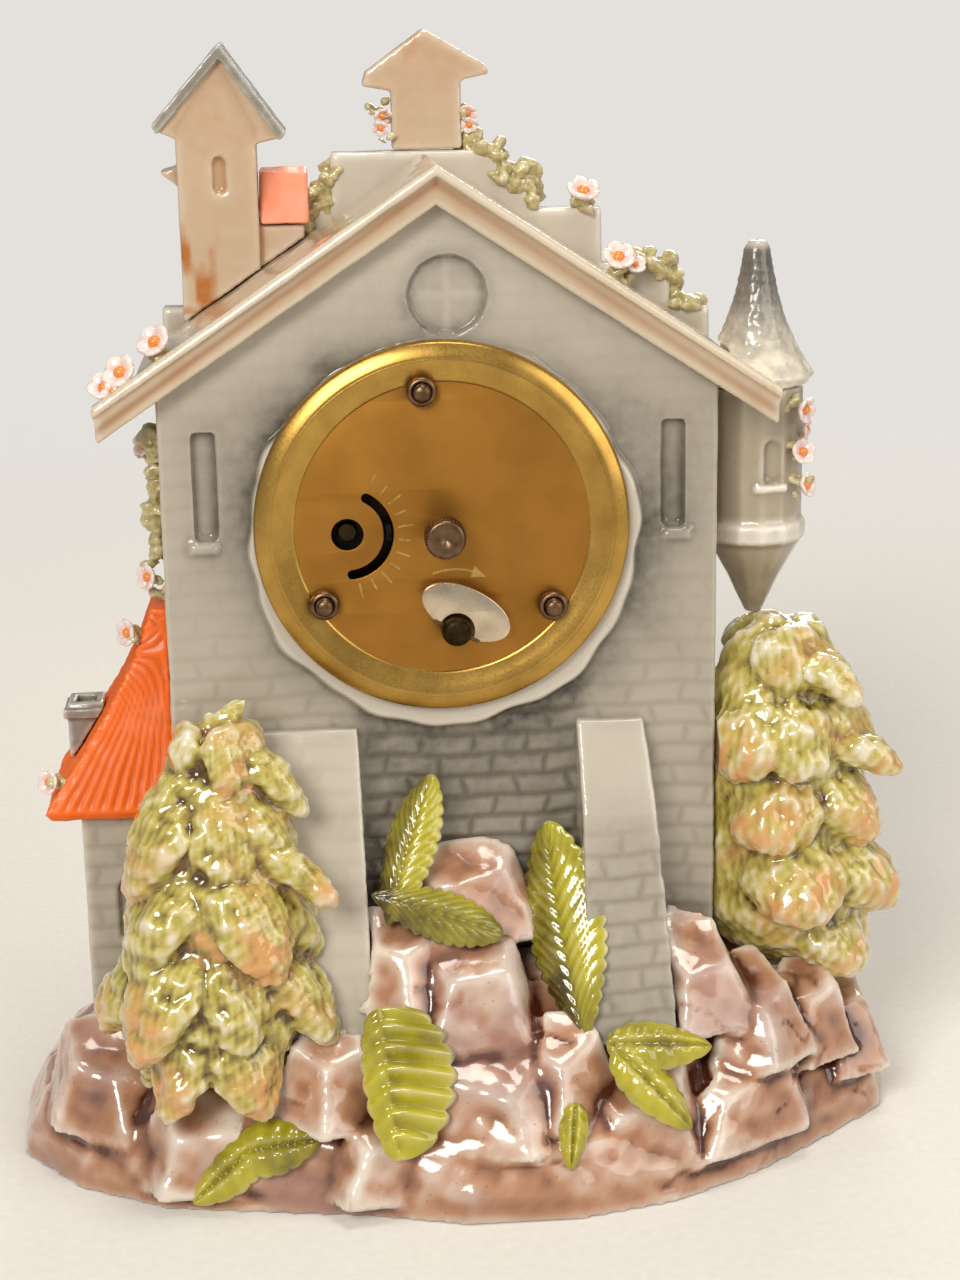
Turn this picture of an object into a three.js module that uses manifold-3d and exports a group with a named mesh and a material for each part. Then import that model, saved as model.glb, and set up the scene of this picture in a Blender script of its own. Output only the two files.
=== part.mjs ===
// A porcelain cottage clock: a glazed house on a rock, with an eight-day lever movement let in from behind.
// Everything is laid out as seen from behind, where the winding side is: x to the right, y away from the
// viewer, z up, in millimetres. The whole group is turned half round at the end, so the dial faces -Y.
import * as THREE from "three";
import { mergeVertices } from "three/addons/utils/BufferGeometryUtils.js";
import Module from "manifold-3d";

const wasm = await Module();
wasm.setup();

// Driving dimensions of the house
const GAP = 0.3;
const HALF_WIDTH = 53.5;
const BACK_Y = -22;
const FRONT_Y = 22;
const WALL = 5;
const FACADE_WALL = 5.7;
const FLOOR_Z = 30;
const EAVES_Z = 154.8;
const RIDGE_Z = 190.2;
const SLOPE = (RIDGE_Z - EAVES_Z) / HALF_WIDTH;
const FACADE_BACK_Y = FRONT_Y - FACADE_WALL;
const DIAL_Z = 128;
const BORE_R = 33;
const COLLAR_R = 37.6;
const COLLAR_PROUD = 1.5;

// Driving dimensions of the roof and its moulded rear rim
const ROOF_HALF_SPAN = 57;
const ROOF_THICK = 5.2;
const RIM_HALF_SPAN = 64.5;
const RIM_Y = BACK_Y - 5;
const RIM_DROP = 1.6;
const RIM_LIP = 1.4;

// Driving dimensions of the movement; levels are y values, arbors stand along y
const BACK_PLATE_Y = [-20, -18.5];
const FRONT_PLATE_Y = [12, 13.5];
const PLATE_R = 31;
const CAP_R = 36;
const CAP_FACE_Y = BACK_Y - 3.6;
const CAP_SHEET = 0.8;
const CENTRE = [0, 0];
const BARREL = [2.1, -19.2];
const BALANCE = [-18.2, -0.6];
const PILLARS = [
  [-3.5, 26.7],
  [-23, -13.9],
  [20.9, -15.5],
];
const SLOT_R = 7.9;
const SLOT_WIDTH = 1.86;
const SLOT_ARC = [-84.6, 61.7];
const REGULATOR_ANGLE = 2.7;

// Wheel work: teeth, leaves and modules, from the barrel to the escape wheel, then the motion work
const GREAT = { teeth: 48, leaves: 6, module: 0.45 };
const INTERMEDIATE = { teeth: 36, leaves: 10, module: 0.5 };
const CENTRE_MESH = { teeth: 48, leaves: 6, module: 0.4 };
const THIRD = { teeth: 45, leaves: 6, module: 0.38 };
const FOURTH = { teeth: 42, leaves: 6, module: 0.4 };
const MINUTE_MESH = { teeth: 24, leaves: 8, module: 0.75 };
const HOUR_MESH = { teeth: 32, leaves: 8, module: 0.6 };
const ESCAPE_TEETH = 15;
const RATCHET_TEETH = 18;

const RAD = Math.PI / 180;

// Sides given to large rounds, to small turned pieces and to pins and pivots
const LARGE = 24;
const MEDIUM = 14;
const SMALL = 10;
const PIN = 6;

// Glazes and metals
const finish = (color, roughness, metalness = 0) => ({ color, roughness, metalness });
const WALL_GLAZE = finish(0xcbc4b8, 0.25);
const CREAM_GLAZE = finish(0xe3d3b8, 0.25);
const ROCK_GLAZE = finish(0xa77b70, 0.2);
const TREE_GLAZE = finish(0xb7b765, 0.2);
const LEAF_GLAZE = finish(0xa9b93a, 0.2);
const ORANGE_GLAZE = finish(0xf0562a, 0.25);
const GREY_GLAZE = finish(0x8d8d8f, 0.35);
const PINK_GLAZE = finish(0xe5b9c0, 0.3);
const BRASS = finish(0xb8892f, 0.35, 1);
const PLATE_BRASS = finish(0xc2a04e, 0.4, 1);
const STEEL = finish(0x6b6660, 0.35, 1);
const NICKEL = finish(0xd8cfc2, 0.25, 1);
const ENAMEL = finish(0xf3efe2, 0.3);
const CLEAR = finish(0xdfe8ea, 0.05);

// A closed geometry as a solid, its faces turned outwards
function solid(geometry) {
  const bare = geometry.clone();
  bare.deleteAttribute("normal");
  bare.deleteAttribute("uv");
  const merged = mergeVertices(bare, 1e-4);
  const points = merged.attributes.position.array;
  const corner = (i) => new THREE.Vector3().fromArray(points, 3 * i);
  const faces = [];
  let volume = 0;
  for (let i = 0; i < merged.index.count; i += 3) {
    const [a, b, c] = [0, 1, 2].map((k) => merged.index.getX(i + k));
    if (a === b || b === c || c === a) continue;
    faces.push([a, b, c]);
    volume += corner(a).dot(corner(b).cross(corner(c)));
  }
  const outward = volume < 0 ? faces.map(([a, b, c]) => [a, c, b]) : faces;
  const vertProperties = new Float32Array(points);
  const triVerts = new Uint32Array(outward.flat());
  return new wasm.Manifold(new wasm.Mesh({ numProp: 3, vertProperties, triVerts }));
}

const join = (first, ...others) => others.reduce((whole, next) => whole.add(next), first);
const cut = (first, ...tools) => tools.reduce((left, tool) => left.subtract(tool), first);

// The main body that is left when a cut has also parted small chips
function mainBody(body) {
  return body.decompose().reduce((best, next) => (next.volume() > best.volume() ? next : best));
}

// Basic forms
const polygon = (points) => new THREE.Shape(points.map(([a, b]) => new THREE.Vector2(a, b)));

function ring(radius, sides, centre = [0, 0], turn = 0) {
  return Array.from({ length: sides }, (_, i) => {
    const angle = turn + (2 * Math.PI * i) / sides;
    return [centre[0] + radius * Math.cos(angle), centre[1] + radius * Math.sin(angle)];
  });
}

function withHoles(outline, holes) {
  const shape = polygon(outline);
  shape.holes = holes.map((hole) => new THREE.Path(polygon(hole).getPoints()));
  return shape;
}

const extruded = (shape, depth) => new THREE.ExtrudeGeometry(shape, { depth, bevelEnabled: false, steps: 1 });

// An x-z outline given depth along y, and a y-z side profile given width along x
function alongY(shape, y0, y1) {
  return solid(extruded(shape, y1 - y0).rotateX(Math.PI / 2).translate(0, y1, 0));
}

function alongX(shape, x0, x1) {
  const turn = new THREE.Matrix4().makeBasis(
    new THREE.Vector3(0, 1, 0),
    new THREE.Vector3(0, 0, 1),
    new THREE.Vector3(1, 0, 0),
  );
  return solid(extruded(shape, x1 - x0).applyMatrix4(turn).translate(x0, 0, 0));
}

const box = (x0, x1, y0, y1, z0, z1) => alongY(polygon([[x0, z0], [x1, z0], [x1, z1], [x0, z1]]), y0, y1);

// Turned forms: profiles of [radius, level], closed on themselves or on the axis
const profileOf = (points) => [...points, points[0]].map(([r, level]) => new THREE.Vector2(r, level));
const onDial = ([u, v]) => [u, DIAL_Z + v];

function turned(profile, place, sides) {
  const [x, z] = onDial(place);
  return solid(new THREE.LatheGeometry(profileOf(profile), sides).translate(x, 0, z));
}

function upright(profile, x, y, sides) {
  const lathe = new THREE.LatheGeometry(profileOf(profile), sides).rotateX(Math.PI / 2);
  return solid(lathe.translate(x, y, 0));
}

const rod = (r, y0, y1, place, sides = PIN) => turned([[0, y0], [r, y0], [r, y1], [0, y1]], place, sides);
const pipe = (bore, r, y0, y1, place, sides = SMALL) =>
  turned([[bore, y0], [r, y0], [r, y1], [bore, y1]], place, sides);

// A grid of points, rows closed round or open, as one skin
function skin(rows, closedRow) {
  const wide = rows[0].length;
  const index = [];
  const last = closedRow ? wide : wide - 1;
  for (let i = 0; i + 1 < rows.length; i++) {
    for (let j = 0; j < last; j++) {
      const k = (j + 1) % wide;
      const [a, b, c, d] = [i * wide + j, i * wide + k, (i + 1) * wide + k, (i + 1) * wide + j];
      index.push(a, b, c, a, c, d);
    }
  }
  const geometry = new THREE.BufferGeometry();
  const flat = rows.flat().flatMap((p) => [p.x, p.y, p.z]);
  geometry.setAttribute("position", new THREE.Float32BufferAttribute(flat, 3));
  geometry.setIndex(index);
  return solid(geometry);
}

// The group and its pieces
const clock = new THREE.Group();

function piece(name, body, look) {
  const mesh = body.getMesh();
  const geometry = new THREE.BufferGeometry();
  geometry.setAttribute("position", new THREE.BufferAttribute(mesh.vertProperties, 3));
  geometry.setIndex(new THREE.BufferAttribute(mesh.triVerts, 1));
  geometry.computeVertexNormals();
  const made = new THREE.Mesh(geometry, new THREE.MeshStandardMaterial(look));
  made.name = name;
  clock.add(made);
  return body;
}

// House shell: rear wall, side walls and ceiling in one casting, open below and towards the facade
const gable = (half, floor, eaves, ridge) =>
  polygon([[-half, floor], [half, floor], [half, eaves], [0, ridge], [-half, eaves]]);

function houseBlock(grow) {
  const outline = gable(HALF_WIDTH + grow, FLOOR_Z - grow, EAVES_Z + grow, RIDGE_Z + grow);
  return alongY(outline, BACK_Y - grow, FRONT_Y + grow);
}

const INNER_HALF = HALF_WIDTH - WALL;
const INNER_RIDGE = RIDGE_Z - WALL * Math.hypot(1, SLOPE);
const OCULUS = { x: 1.9, z: 171.8, r: 7.7, depth: 1.6, bar: 1.1 };
const SLIT = { x: 44.9, z0: 126, z1: 147.2, half: 2.3, depth: 2, sill: 2.2 };

function collar() {
  const edge = Array.from({ length: LARGE }, (_, i) => {
    const angle = (2 * Math.PI * i) / LARGE;
    const r = COLLAR_R + 0.7 * Math.sin(5 * angle + 1) + 0.5 * Math.sin(9 * angle);
    return [r * Math.cos(angle), DIAL_Z + r * Math.sin(angle)];
  });
  return alongY(polygon(edge), BACK_Y - COLLAR_PROUD, BACK_Y + 1);
}

function houseShell() {
  const outer = alongY(gable(HALF_WIDTH, FLOOR_Z, EAVES_Z, RIDGE_Z), BACK_Y, FACADE_BACK_Y - GAP);
  const room = gable(INNER_HALF, FLOOR_Z - 1, INNER_RIDGE - SLOPE * INNER_HALF, INNER_RIDGE);
  const hollow = alongY(room, BACK_Y + WALL, FRONT_Y);
  const bore = rod(BORE_R, BACK_Y - 5, BACK_Y + WALL + 1, CENTRE, MEDIUM + 4);
  const { x, z, r, depth, bar } = OCULUS;
  const recess = alongY(polygon(ring(r, MEDIUM, [x, z])), BACK_Y - 1, BACK_Y + depth);
  const upBar = box(x - bar / 2, x + bar / 2, BACK_Y + 0.5, BACK_Y + depth + 1, z - r - 0.5, z + r + 0.5);
  const crossBar = box(x - r - 0.5, x + r + 0.5, BACK_Y + 0.5, BACK_Y + depth + 1, z - bar / 2, z + bar / 2);
  const slits = [-SLIT.x, SLIT.x].map((c) =>
    box(c - SLIT.half, c + SLIT.half, BACK_Y - 1, BACK_Y + SLIT.depth, SLIT.z0, SLIT.z1),
  );
  const sills = [-SLIT.x, SLIT.x].map((c) =>
    box(c - SLIT.half - 1, c + SLIT.half + 1, BACK_Y - 1, BACK_Y + 1, SLIT.z0 - SLIT.sill, SLIT.z0 - 0.2),
  );
  const walls = cut(outer, hollow, recess, ...slits);
  return cut(join(walls, upBar, crossBar, collar(), ...sills), bore);
}

// Roof: two slopes lying on the gable, with a moulded rim that hangs past the rear wall
function chevron(half, base, thick) {
  const low = base - SLOPE * half;
  const under = [[-half, low], [0, base], [half, low]];
  const over = [[half, low + thick], [0, base + thick], [-half, low + thick]];
  return polygon([...under, ...over]);
}

const ROOF_BASE = RIDGE_Z + GAP * Math.hypot(1, SLOPE);

function roofForm(grow) {
  const base = ROOF_BASE - grow;
  const slab = chevron(ROOF_HALF_SPAN + grow, base, ROOF_THICK + 2 * grow);
  const rim = chevron(RIM_HALF_SPAN + grow, base - RIM_DROP, ROOF_THICK + RIM_DROP + 2 * grow);
  const lip = chevron(RIM_HALF_SPAN + 0.4 + grow, base + ROOF_THICK - RIM_LIP, 1.5 * RIM_LIP + 2 * grow);
  return join(
    alongY(slab, BACK_Y - 1, FACADE_BACK_Y - GAP + grow),
    alongY(rim, RIM_Y - grow, BACK_Y - GAP + grow),
    alongY(lip, RIM_Y - 1 - grow, RIM_Y + 2 + grow),
  );
}

// Facade: the crow-stepped front wall, which rises past the roof; door and windows stand in it
const STEPS_RIGHT = [
  [15.5, 196], [15.5, 190],
  [21.5, 190], [21.5, 184],
  [36, 184], [36, 172.5],
  [50, 172.5], [50, 163.5], [58, 163.5],
];
const STEPS_LEFT = [[-53.5, 166], [-23.5, 166], [-23.5, 186.5], [-18.5, 186.5], [-18.5, 196]];
const DOOR = { half: 9, z0: 36.5, spring: 62, proud: 1.6 };
const FRONT_WINDOW = { x: 37, half: 6, z0: 54, spring: 72, depth: 2 };

const ARCH_STEPS = 6;

function arched(x, half, z0, spring) {
  const top = Array.from({ length: ARCH_STEPS + 1 }, (_, i) => {
    const angle = (Math.PI * i) / ARCH_STEPS;
    return [x + half * Math.cos(angle), spring + half * Math.sin(angle)];
  });
  return polygon([[x - half, z0], [x + half, z0], ...top]);
}

function facadeForm(grow) {
  const foot = FLOOR_Z - grow;
  const flanks = [[HALF_WIDTH, 150], [HALF_WIDTH, foot], [-HALF_WIDTH, foot]];
  const outline = [...flanks, ...STEPS_LEFT, ...STEPS_RIGHT, [58, 156]];
  const widened = outline.map(([x, z]) => [x + grow * Math.sign(x), z > 160 ? z + grow : z]);
  return alongY(polygon(widened), FACADE_BACK_Y - grow, FRONT_Y + grow);
}

function facade() {
  const bore = rod(BORE_R, FACADE_BACK_Y - 1, FRONT_Y + 1, CENTRE, MEDIUM + 4);
  const windows = [-FRONT_WINDOW.x, FRONT_WINDOW.x].map((x) => {
    const { half, z0, spring, depth } = FRONT_WINDOW;
    const opening = alongY(arched(x, half, z0, spring), FRONT_Y - depth, FRONT_Y + 1);
    return cut(opening, box(x - 0.6, x + 0.6, FRONT_Y - depth, FRONT_Y - 0.8, z0, spring + half));
  });
  return cut(facadeForm(0), bore, ...windows);
}

function frontDoor() {
  const { half, z0, spring, proud } = DOOR;
  const y = FRONT_Y + GAP;
  const surround = alongY(arched(0, half, z0, spring), y, y + proud);
  const leaf = alongY(arched(0, half - 2, z0 - 1, spring), y + 0.7, y + proud + 1);
  const planks = [-4.2, -1.4, 1.4, 4.2].map((x) => box(x - 1.1, x + 1.1, y, y + 1.2, z0, spring + 4.5));
  return join(cut(surround, leaf), ...planks);
}

// Bell tower on the left shoulder, with a lower annex beside it, and the flat bell-cote on the gable
const TOWER = { x0: -48.8, x1: -33.1, y0: 9, y1: 23, foot: 156, eaves: 202, peak: 214.6, mid: -39.6 };
const TOWER_ROOF = { x0: -53.4, x1: -27.2, eavesLeft: 202.4, eavesRight: 200.6, peak: 217.9, thick: 3 };
const ANNEX = { x0: -33.6, x1: -24.2, y0: 11, y1: 22.6, foot: 162, top: 182.5, peak: 193.4 };
const COTE = { x0: -6.1, x1: 7.9, foot: 196 + GAP, mid: 0.5, peak: 219.7 };

function bellTower(...neighbours) {
  const { x0, x1, y0, y1, foot, eaves, peak, mid } = TOWER;
  const outline = polygon([[x0, foot], [x1, foot], [x1, eaves - 0.8], [mid, peak], [x0, eaves]]);
  const spout = alongY(polygon([[x0 + 1, 189.6], [x0 + 1, 194.4], [x0 - 3.8, 193.2]]), y0 + 3, y1 - 3);
  const slit = arched((x0 + x1) / 2 + 0.5, 1.3, 189, 195);
  const slits = [alongY(slit, y0 - 1, y0 + 1.2), alongY(slit, y1 - 1.2, y1 + 1)];
  const annex = box(ANNEX.x0, ANNEX.x1, ANNEX.y0, ANNEX.y1, ANNEX.foot, ANNEX.top);
  const tower = join(alongY(outline, y0, y1), spout, annex);
  return mainBody(cut(tower, ...slits, ...neighbours));
}

function bellTowerRoof() {
  const { x0, x1, eavesLeft, eavesRight, peak, thick } = TOWER_ROOF;
  const { mid, y0, y1 } = TOWER;
  const outline = [
    [x0, eavesLeft],
    [x0 + 1.2, eavesLeft - 1.6],
    [mid, peak - thick],
    [x1 - 1.2, eavesRight - 1.6],
    [x1, eavesRight],
    [mid, peak],
  ];
  const clear = polygon([
    [TOWER.x0 - GAP, 150],
    [TOWER.x1 + GAP, 150],
    [TOWER.x1 + GAP, TOWER.eaves - 0.8 + GAP],
    [mid, TOWER.peak + 1.4 * GAP],
    [TOWER.x0 - GAP, TOWER.eaves + GAP],
  ]);
  return mainBody(cut(alongY(polygon(outline), y0 - 1.5, y1 + 1.5), alongY(clear, y0 - 3, y1 + 3)));
}

function annexRoof(front) {
  const { x0, x1, y0, y1, top, peak } = ANNEX;
  const side = polygon([[y0 - 1.5, top + GAP], [y1 + 1.5, top + GAP], [y1 - 3, peak], [y0 + 4, peak - 1]]);
  const tiles = alongX(side, TOWER.x1 + GAP, x1 + 1);
  return mainBody(cut(tiles, front));
}

function bellCote() {
  const { x0, x1, foot, mid, peak } = COTE;
  const outline = polygon([
    [x0, foot],
    [x1, foot],
    [x1, 209.6],
    [13.6, 210.8],
    [12.6, 212.6],
    [mid, peak],
    [-11.2, 211.4],
    [-11.8, 208.8],
    [x0, 207.8],
  ]);
  return alongY(outline, FACADE_BACK_Y, FRONT_Y);
}

// Turret corbelled out from the right wall, under a hollow-sided cone
const TURRET = { x: 64, y: -4, r: 9.5, ringR: 10.4, corbelZ: 104, ringZ: 120, bodyZ: 124, topZ: 150.5 };
const CONE = { r: 11.6, z0: 150.8, z1: 178.8, tipR: 2.4 };

function turretForm(grow) {
  const { x, y, r, ringR, corbelZ, ringZ, bodyZ, topZ } = TURRET;
  const profile = [
    [0, corbelZ - grow],
    [1.6 + grow, corbelZ],
    [5.4 + grow, 112],
    [ringR - 0.8 + grow, ringZ - 0.6],
    [ringR + grow, ringZ],
    [ringR + grow, bodyZ - 0.8],
    [r + grow, bodyZ],
    [r + grow, topZ + grow],
    [0, topZ + grow],
  ];
  return upright(profile, x, y, MEDIUM);
}

function turret(...neighbours) {
  const { x, y, r } = TURRET;
  const slot = arched(x + 2, 1.8, 132, 139);
  const windows = [alongY(slot, y - r - 1, y - r + 1.4), alongY(slot, y + r - 1.4, y + r + 1)];
  return mainBody(cut(turretForm(0), ...windows, ...neighbours));
}

function turretRoof(...neighbours) {
  const rise = CONE.z1 - CONE.z0;
  const side = [0, 0.2, 0.45, 0.7, 0.94].map((t) => {
    return [CONE.tipR + (CONE.r - CONE.tipR) * (1 - t) ** 1.35, CONE.z0 + 2 + t * (rise - 2)];
  });
  const profile = [[0, CONE.z0], [CONE.r - 1.4, CONE.z0], ...side, [CONE.tipR - 0.8, CONE.z1], [0, CONE.z1]];
  return mainBody(cut(upright(profile, TURRET.x, TURRET.y, MEDIUM), ...neighbours));
}

// Lean-to wing against the left wall, under a hollow hipped roof with a small chimney
const LEAN = { x0: -72.5, x1: -HALF_WIDTH - GAP, y0: -18, y1: 11, foot: 27, top: 70.5 };
const LEAN_ROOF = { x0: -79, y0: -21.5, y1: 14, z0: LEAN.top, topX: -57, topY: [-13, 3], topZ: 111 };
const CHIMNEY = { x0: -75, x1: -67.8, y0: -7, y1: 1, z0: 74, z1: 90.5 };

function leanTo(...neighbours) {
  const { x0, x1, y0, y1, foot, top } = LEAN;
  const window = arched((x0 + x1) / 2, 3, 44, 54);
  const walls = box(x0, x1, y0, y1, foot, top - GAP);
  const windows = [alongY(window, y0 - 1, y0 + 1.5), alongY(window, y1 - 1.5, y1 + 1)];
  return mainBody(cut(walls, ...windows, ...neighbours));
}

function leanToRoof(grow) {
  const { x0, y0, y1, z0, topX, topY, topZ } = LEAN_ROOF;
  const inside = -HALF_WIDTH - GAP;
  const row = (left, near, far, z) => {
    const plan = [[inside, near], [left, near], [left, far], [inside, far]];
    return plan.map(([x, y]) => new THREE.Vector3(x, y, z));
  };
  const under = new THREE.Vector3((x0 + inside) / 2, (y0 + y1) / 2, z0 - grow);
  const soffit = row(x0 + 1 - grow, y0 + 1 - grow, y1 - 1 + grow, z0 - grow);
  const rows = [soffit.map(() => under), soffit];
  const levels = [0, 0.12, 0.28, 0.5, 0.75, 1];
  for (const t of levels) {
    const hollow = (1 - t) ** 1.3;
    const left = topX + (x0 - topX) * hollow - grow;
    const near = topY[0] + (y0 - topY[0]) * hollow - grow;
    const far = topY[1] + (y1 - topY[1]) * hollow + grow;
    rows.push(row(left, near, far, z0 + 1.6 + t * (topZ - z0 - 1.6) + grow));
  }
  const apex = new THREE.Vector3(inside, (topY[0] + topY[1]) / 2, topZ + 0.8 + grow);
  rows.push(soffit.map(() => apex));
  return skin(rows, true);
}

function chimney(roof) {
  const { x0, x1, y0, y1, z0, z1 } = CHIMNEY;
  const stack = join(
    box(x0, x1, y0, y1, z0, z1),
    box(x0 - 0.7, x1 + 0.7, y0 - 0.7, y1 + 0.7, z1 - 3, z1 - 1.2),
  );
  const flue = box(x0 + 1.6, x1 - 1.6, y0 + 1.6, y1 - 1.6, z1 - 2, z1 + 1);
  return mainBody(cut(stack, flue, roof));
}

// Buttresses against the rear wall, battered outwards below a sloped cap
const BUTTRESS_CAP_Z = 88.4;
const BUTTRESSES = {
  buttress_left: { x0: -37.4, x1: -17.5, flare: 1.2, shoulderZ: 78, shoulderY: -29, footY: -44 },
  buttress_right: { x0: 25.6, x1: 38.6, flare: 4.4, shoulderZ: 72, shoulderY: -34, footY: -45 },
};

function buttress({ x0, x1, flare, shoulderZ, shoulderY, footY }, grow) {
  const wallY = BACK_Y - GAP;
  const foot = FLOOR_Z - 2 - grow;
  const levels = [
    { z: foot, y: footY, wide: flare },
    { z: shoulderZ, y: shoulderY, wide: flare / 3 },
    { z: BUTTRESS_CAP_Z + grow, y: wallY - 2.7, wide: 0 },
  ];
  const rows = levels.map(({ z, y, wide }) =>
    [[x0 - grow, y - grow], [x1 + wide + grow, y - grow], [x1 + wide + grow, wallY], [x0 - grow, wallY]].map(
      ([x, at]) => new THREE.Vector3(x, at, z),
    ),
  );
  const lid = (row) => row.map(() => row[0].clone().lerp(row[2], 0.5));
  return skin([lid(rows[0]), ...rows, lid(rows[2])], true);
}

// A repeatable number from 0 to 1, different for each thing that is numbered
function chance(number) {
  const wave = 43758.5453 * Math.sin(12.9898 * number);
  return wave - Math.floor(wave);
}

// Rock: a mound from the ground line to the house, with angular blocks standing out of it
const ROCK_GROUND = [
  [94, -2],
  [92.6, -16.1],
  [68.7, -38.3],
  [45.7, -54.5],
  [9.8, -62.4],
  [-7.2, -59.4],
  [-28.1, -53],
  [-53.1, -50.6],
  [-85.1, -28],
  [-88.7, 1.6],
  [-80, 28],
  [-50, 49],
  [-8, 56],
  [36, 53],
  [74, 36],
];
const ROCK_CENTRE = [2, -2];
const ROCK_STATIONS = 24;
const ROCK_RINGS = [
  [0, 0],
  [0.012, 6],
  [0.07, 14],
  [0.22, 23],
  [0.45, 38],
];
const ROCK_TOP_Z = 44;
const ROCK_RAGGED = { inward: 0.05, level: 4 };
const BLOCKS = [
  { x: 2, y: -27, top: 62, rx: 11, ry: 9, turn: 0.2, slope: 0.6 },
  { x: -11, y: -35, top: 51, rx: 9, ry: 8, turn: -0.5, slope: 0.5 },
  { x: 4, y: -39, top: 46, rx: 11, ry: 7, turn: 0.25, slope: 0.5 },
  { x: 6, y: -49, top: 28, rx: 13, ry: 8, turn: -0.15, slope: 0.8 },
  { x: -25, y: -45, top: 32, rx: 10, ry: 8, turn: 0.5, slope: 0.6 },
  { x: -14, y: -53, top: 17, rx: 10, ry: 5, turn: 0.3, slope: 0.7 },
  { x: 20, y: -46, top: 32, rx: 8, ry: 8, turn: -0.5, slope: 0.7 },
  { x: 36, y: -48, top: 21, rx: 13, ry: 6, turn: 0.35, slope: 0.7 },
  { x: 47, y: -32, top: 44, rx: 9, ry: 10, turn: 0.4, slope: 0.6 },
  { x: 59, y: -32, top: 36, rx: 9, ry: 9, turn: -0.3, slope: 0.5 },
  { x: 57, y: -41, top: 22, rx: 14, ry: 6, turn: 0.6, slope: 0.7 },
  { x: 71, y: -25, top: 32, rx: 9, ry: 8, turn: 0.7, slope: 0.5 },
  { x: 80, y: -13, top: 26, rx: 9, ry: 13, turn: 0.2, slope: 0.2 },
  { x: -70, y: -29, top: 26, rx: 12, ry: 8, turn: -0.5, slope: 0.6 },
  { x: -50, y: -44, top: 18, rx: 12, ry: 6, turn: 0.1, slope: 0.7 },
];
const BLOCK_SIDES = 5;
const BLOCK_RINGS = [
  [1.5, 16],
  [0.82, 0],
];
const BLOCK_FOOT_Z = 3;
const BLOCK_TWIST = 0.5;
const BLOCK_SPREAD = 0.28;

// A block that narrows upwards, its corners uneven and its top sloping down from the house
function block({ x, y, top, rx, ry, turn, slope }, grow) {
  const rows = BLOCK_RINGS.map(([reach, drop], i) =>
    Array.from({ length: BLOCK_SIDES }, (_, j) => {
      const angle = (2 * Math.PI * (j + BLOCK_TWIST * chance(x + 7 * j))) / BLOCK_SIDES;
      const size = reach * (1 + BLOCK_SPREAD * (chance(y + 5 * j) - 0.5));
      const u = (rx * size + grow) * Math.cos(angle);
      const v = (ry * size + grow) * Math.sin(angle);
      const across = u * Math.cos(turn) - v * Math.sin(turn);
      const deep = u * Math.sin(turn) + v * Math.cos(turn);
      const z = i > 0 ? top + slope * deep + grow : Math.max(top - drop, BLOCK_FOOT_Z) - grow;
      return new THREE.Vector3(x + across, y + deep, z);
    }),
  );
  const lid = ([corner]) => rows[0].map(() => corner);
  return skin([lid(rows[0]), ...rows, lid(rows[1])], true);
}

function mound(grow) {
  const corners = ROCK_GROUND.map(([x, y]) => new THREE.Vector3(x, y, 0));
  const ground = new THREE.CatmullRomCurve3(corners, true).getSpacedPoints(ROCK_STATIONS).slice(0, -1);
  const centre = new THREE.Vector3(...ROCK_CENTRE, 0);
  const rows = ROCK_RINGS.map(([inward, level], i) =>
    ground.map((edge, j) => {
      const uneven = i > 1 ? chance(j + 31 * i) - 0.5 : 0;
      const place = edge.clone().lerp(centre, inward + ROCK_RAGGED.inward * uneven);
      const outward = edge.clone().sub(centre).setLength(grow);
      const z = level + ROCK_RAGGED.level * uneven;
      return place.add(outward).setZ(i > 0 ? z + grow : z - grow);
    }),
  );
  const under = rows[0].map(() => centre.clone().setZ(-grow));
  const top = rows[0].map(() => centre.clone().setZ(ROCK_TOP_Z));
  return skin([under, ...rows, top], true);
}

const rockForm = (grow) => join(mound(grow), ...BLOCKS.map((form) => block(form, grow)));

const VENT = { x: 24, y: -2, r: 5 };
const FRONT_STEPS = [[20, 24, 50, 12], [17, 24, 44.5, 20], [14, 24, 39, 28], [12, 22.6, 33.5, 36]];

// Fir trees: tiers of drooping boughs round a leaning stem
const FIRS = {
  fir_tree_left: {
    foot: [-47, -43, 23],
    tip: [-44.4, -33, 96],
    rx: 26,
    ry: 18,
    fullness: 3.4,
    tiers: 5,
    boughs: 6,
    wide: 20,
    thick: 13,
    droop: 0.8,
    pitch: 0.3,
    wallward: [0, 1],
    seed: 5,
  },
  fir_tree_right: {
    foot: [70, -12, 30],
    tip: [66, -11, 106],
    rx: 24.5,
    ry: 21,
    fullness: 5,
    tiers: 5,
    boughs: 6,
    wide: 24,
    thick: 15,
    droop: 0.35,
    pitch: 0.1,
    wallward: [-1, 0],
    seed: 9,
  },
};
const STEM_SHARE = 0.7;
const STEM_SIDES = 8;
const STEM_RINGS = 4;
const BOUGH_SIDES = 4;
const BOUGH_STEPS = [0, 0.3, 0.82, 1];
const BOUGH_TAPER = 0.3;
const BOUGH_LEAST = 10;
const BOUGH_SHARE = 0.85;
const LOW_TIER = 0.1;
const TIER_SPAN = 0.78;
const WALL_LIMIT = 0.6;

const firGirth = (t, fullness) => Math.min(1, Math.sqrt(t / 0.16)) * (1 - t ** fullness) ** 0.7;

// Sections of one bough: a tongue that narrows and bends down towards its tip, along x from its root
function bough(length, wide, thick, droop) {
  return BOUGH_STEPS.map((s) =>
    Array.from({ length: BOUGH_SIDES }, (_, j) => {
      const angle = (2 * Math.PI * j) / BOUGH_SIDES;
      const swell = Math.sqrt(s - s * s);
      const across = wide * swell * (1 - BOUGH_TAPER * s) * Math.cos(angle);
      return new THREE.Vector3(length * s, across, thick * (swell * Math.sin(angle) - droop * s * s));
    }),
  );
}

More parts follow.
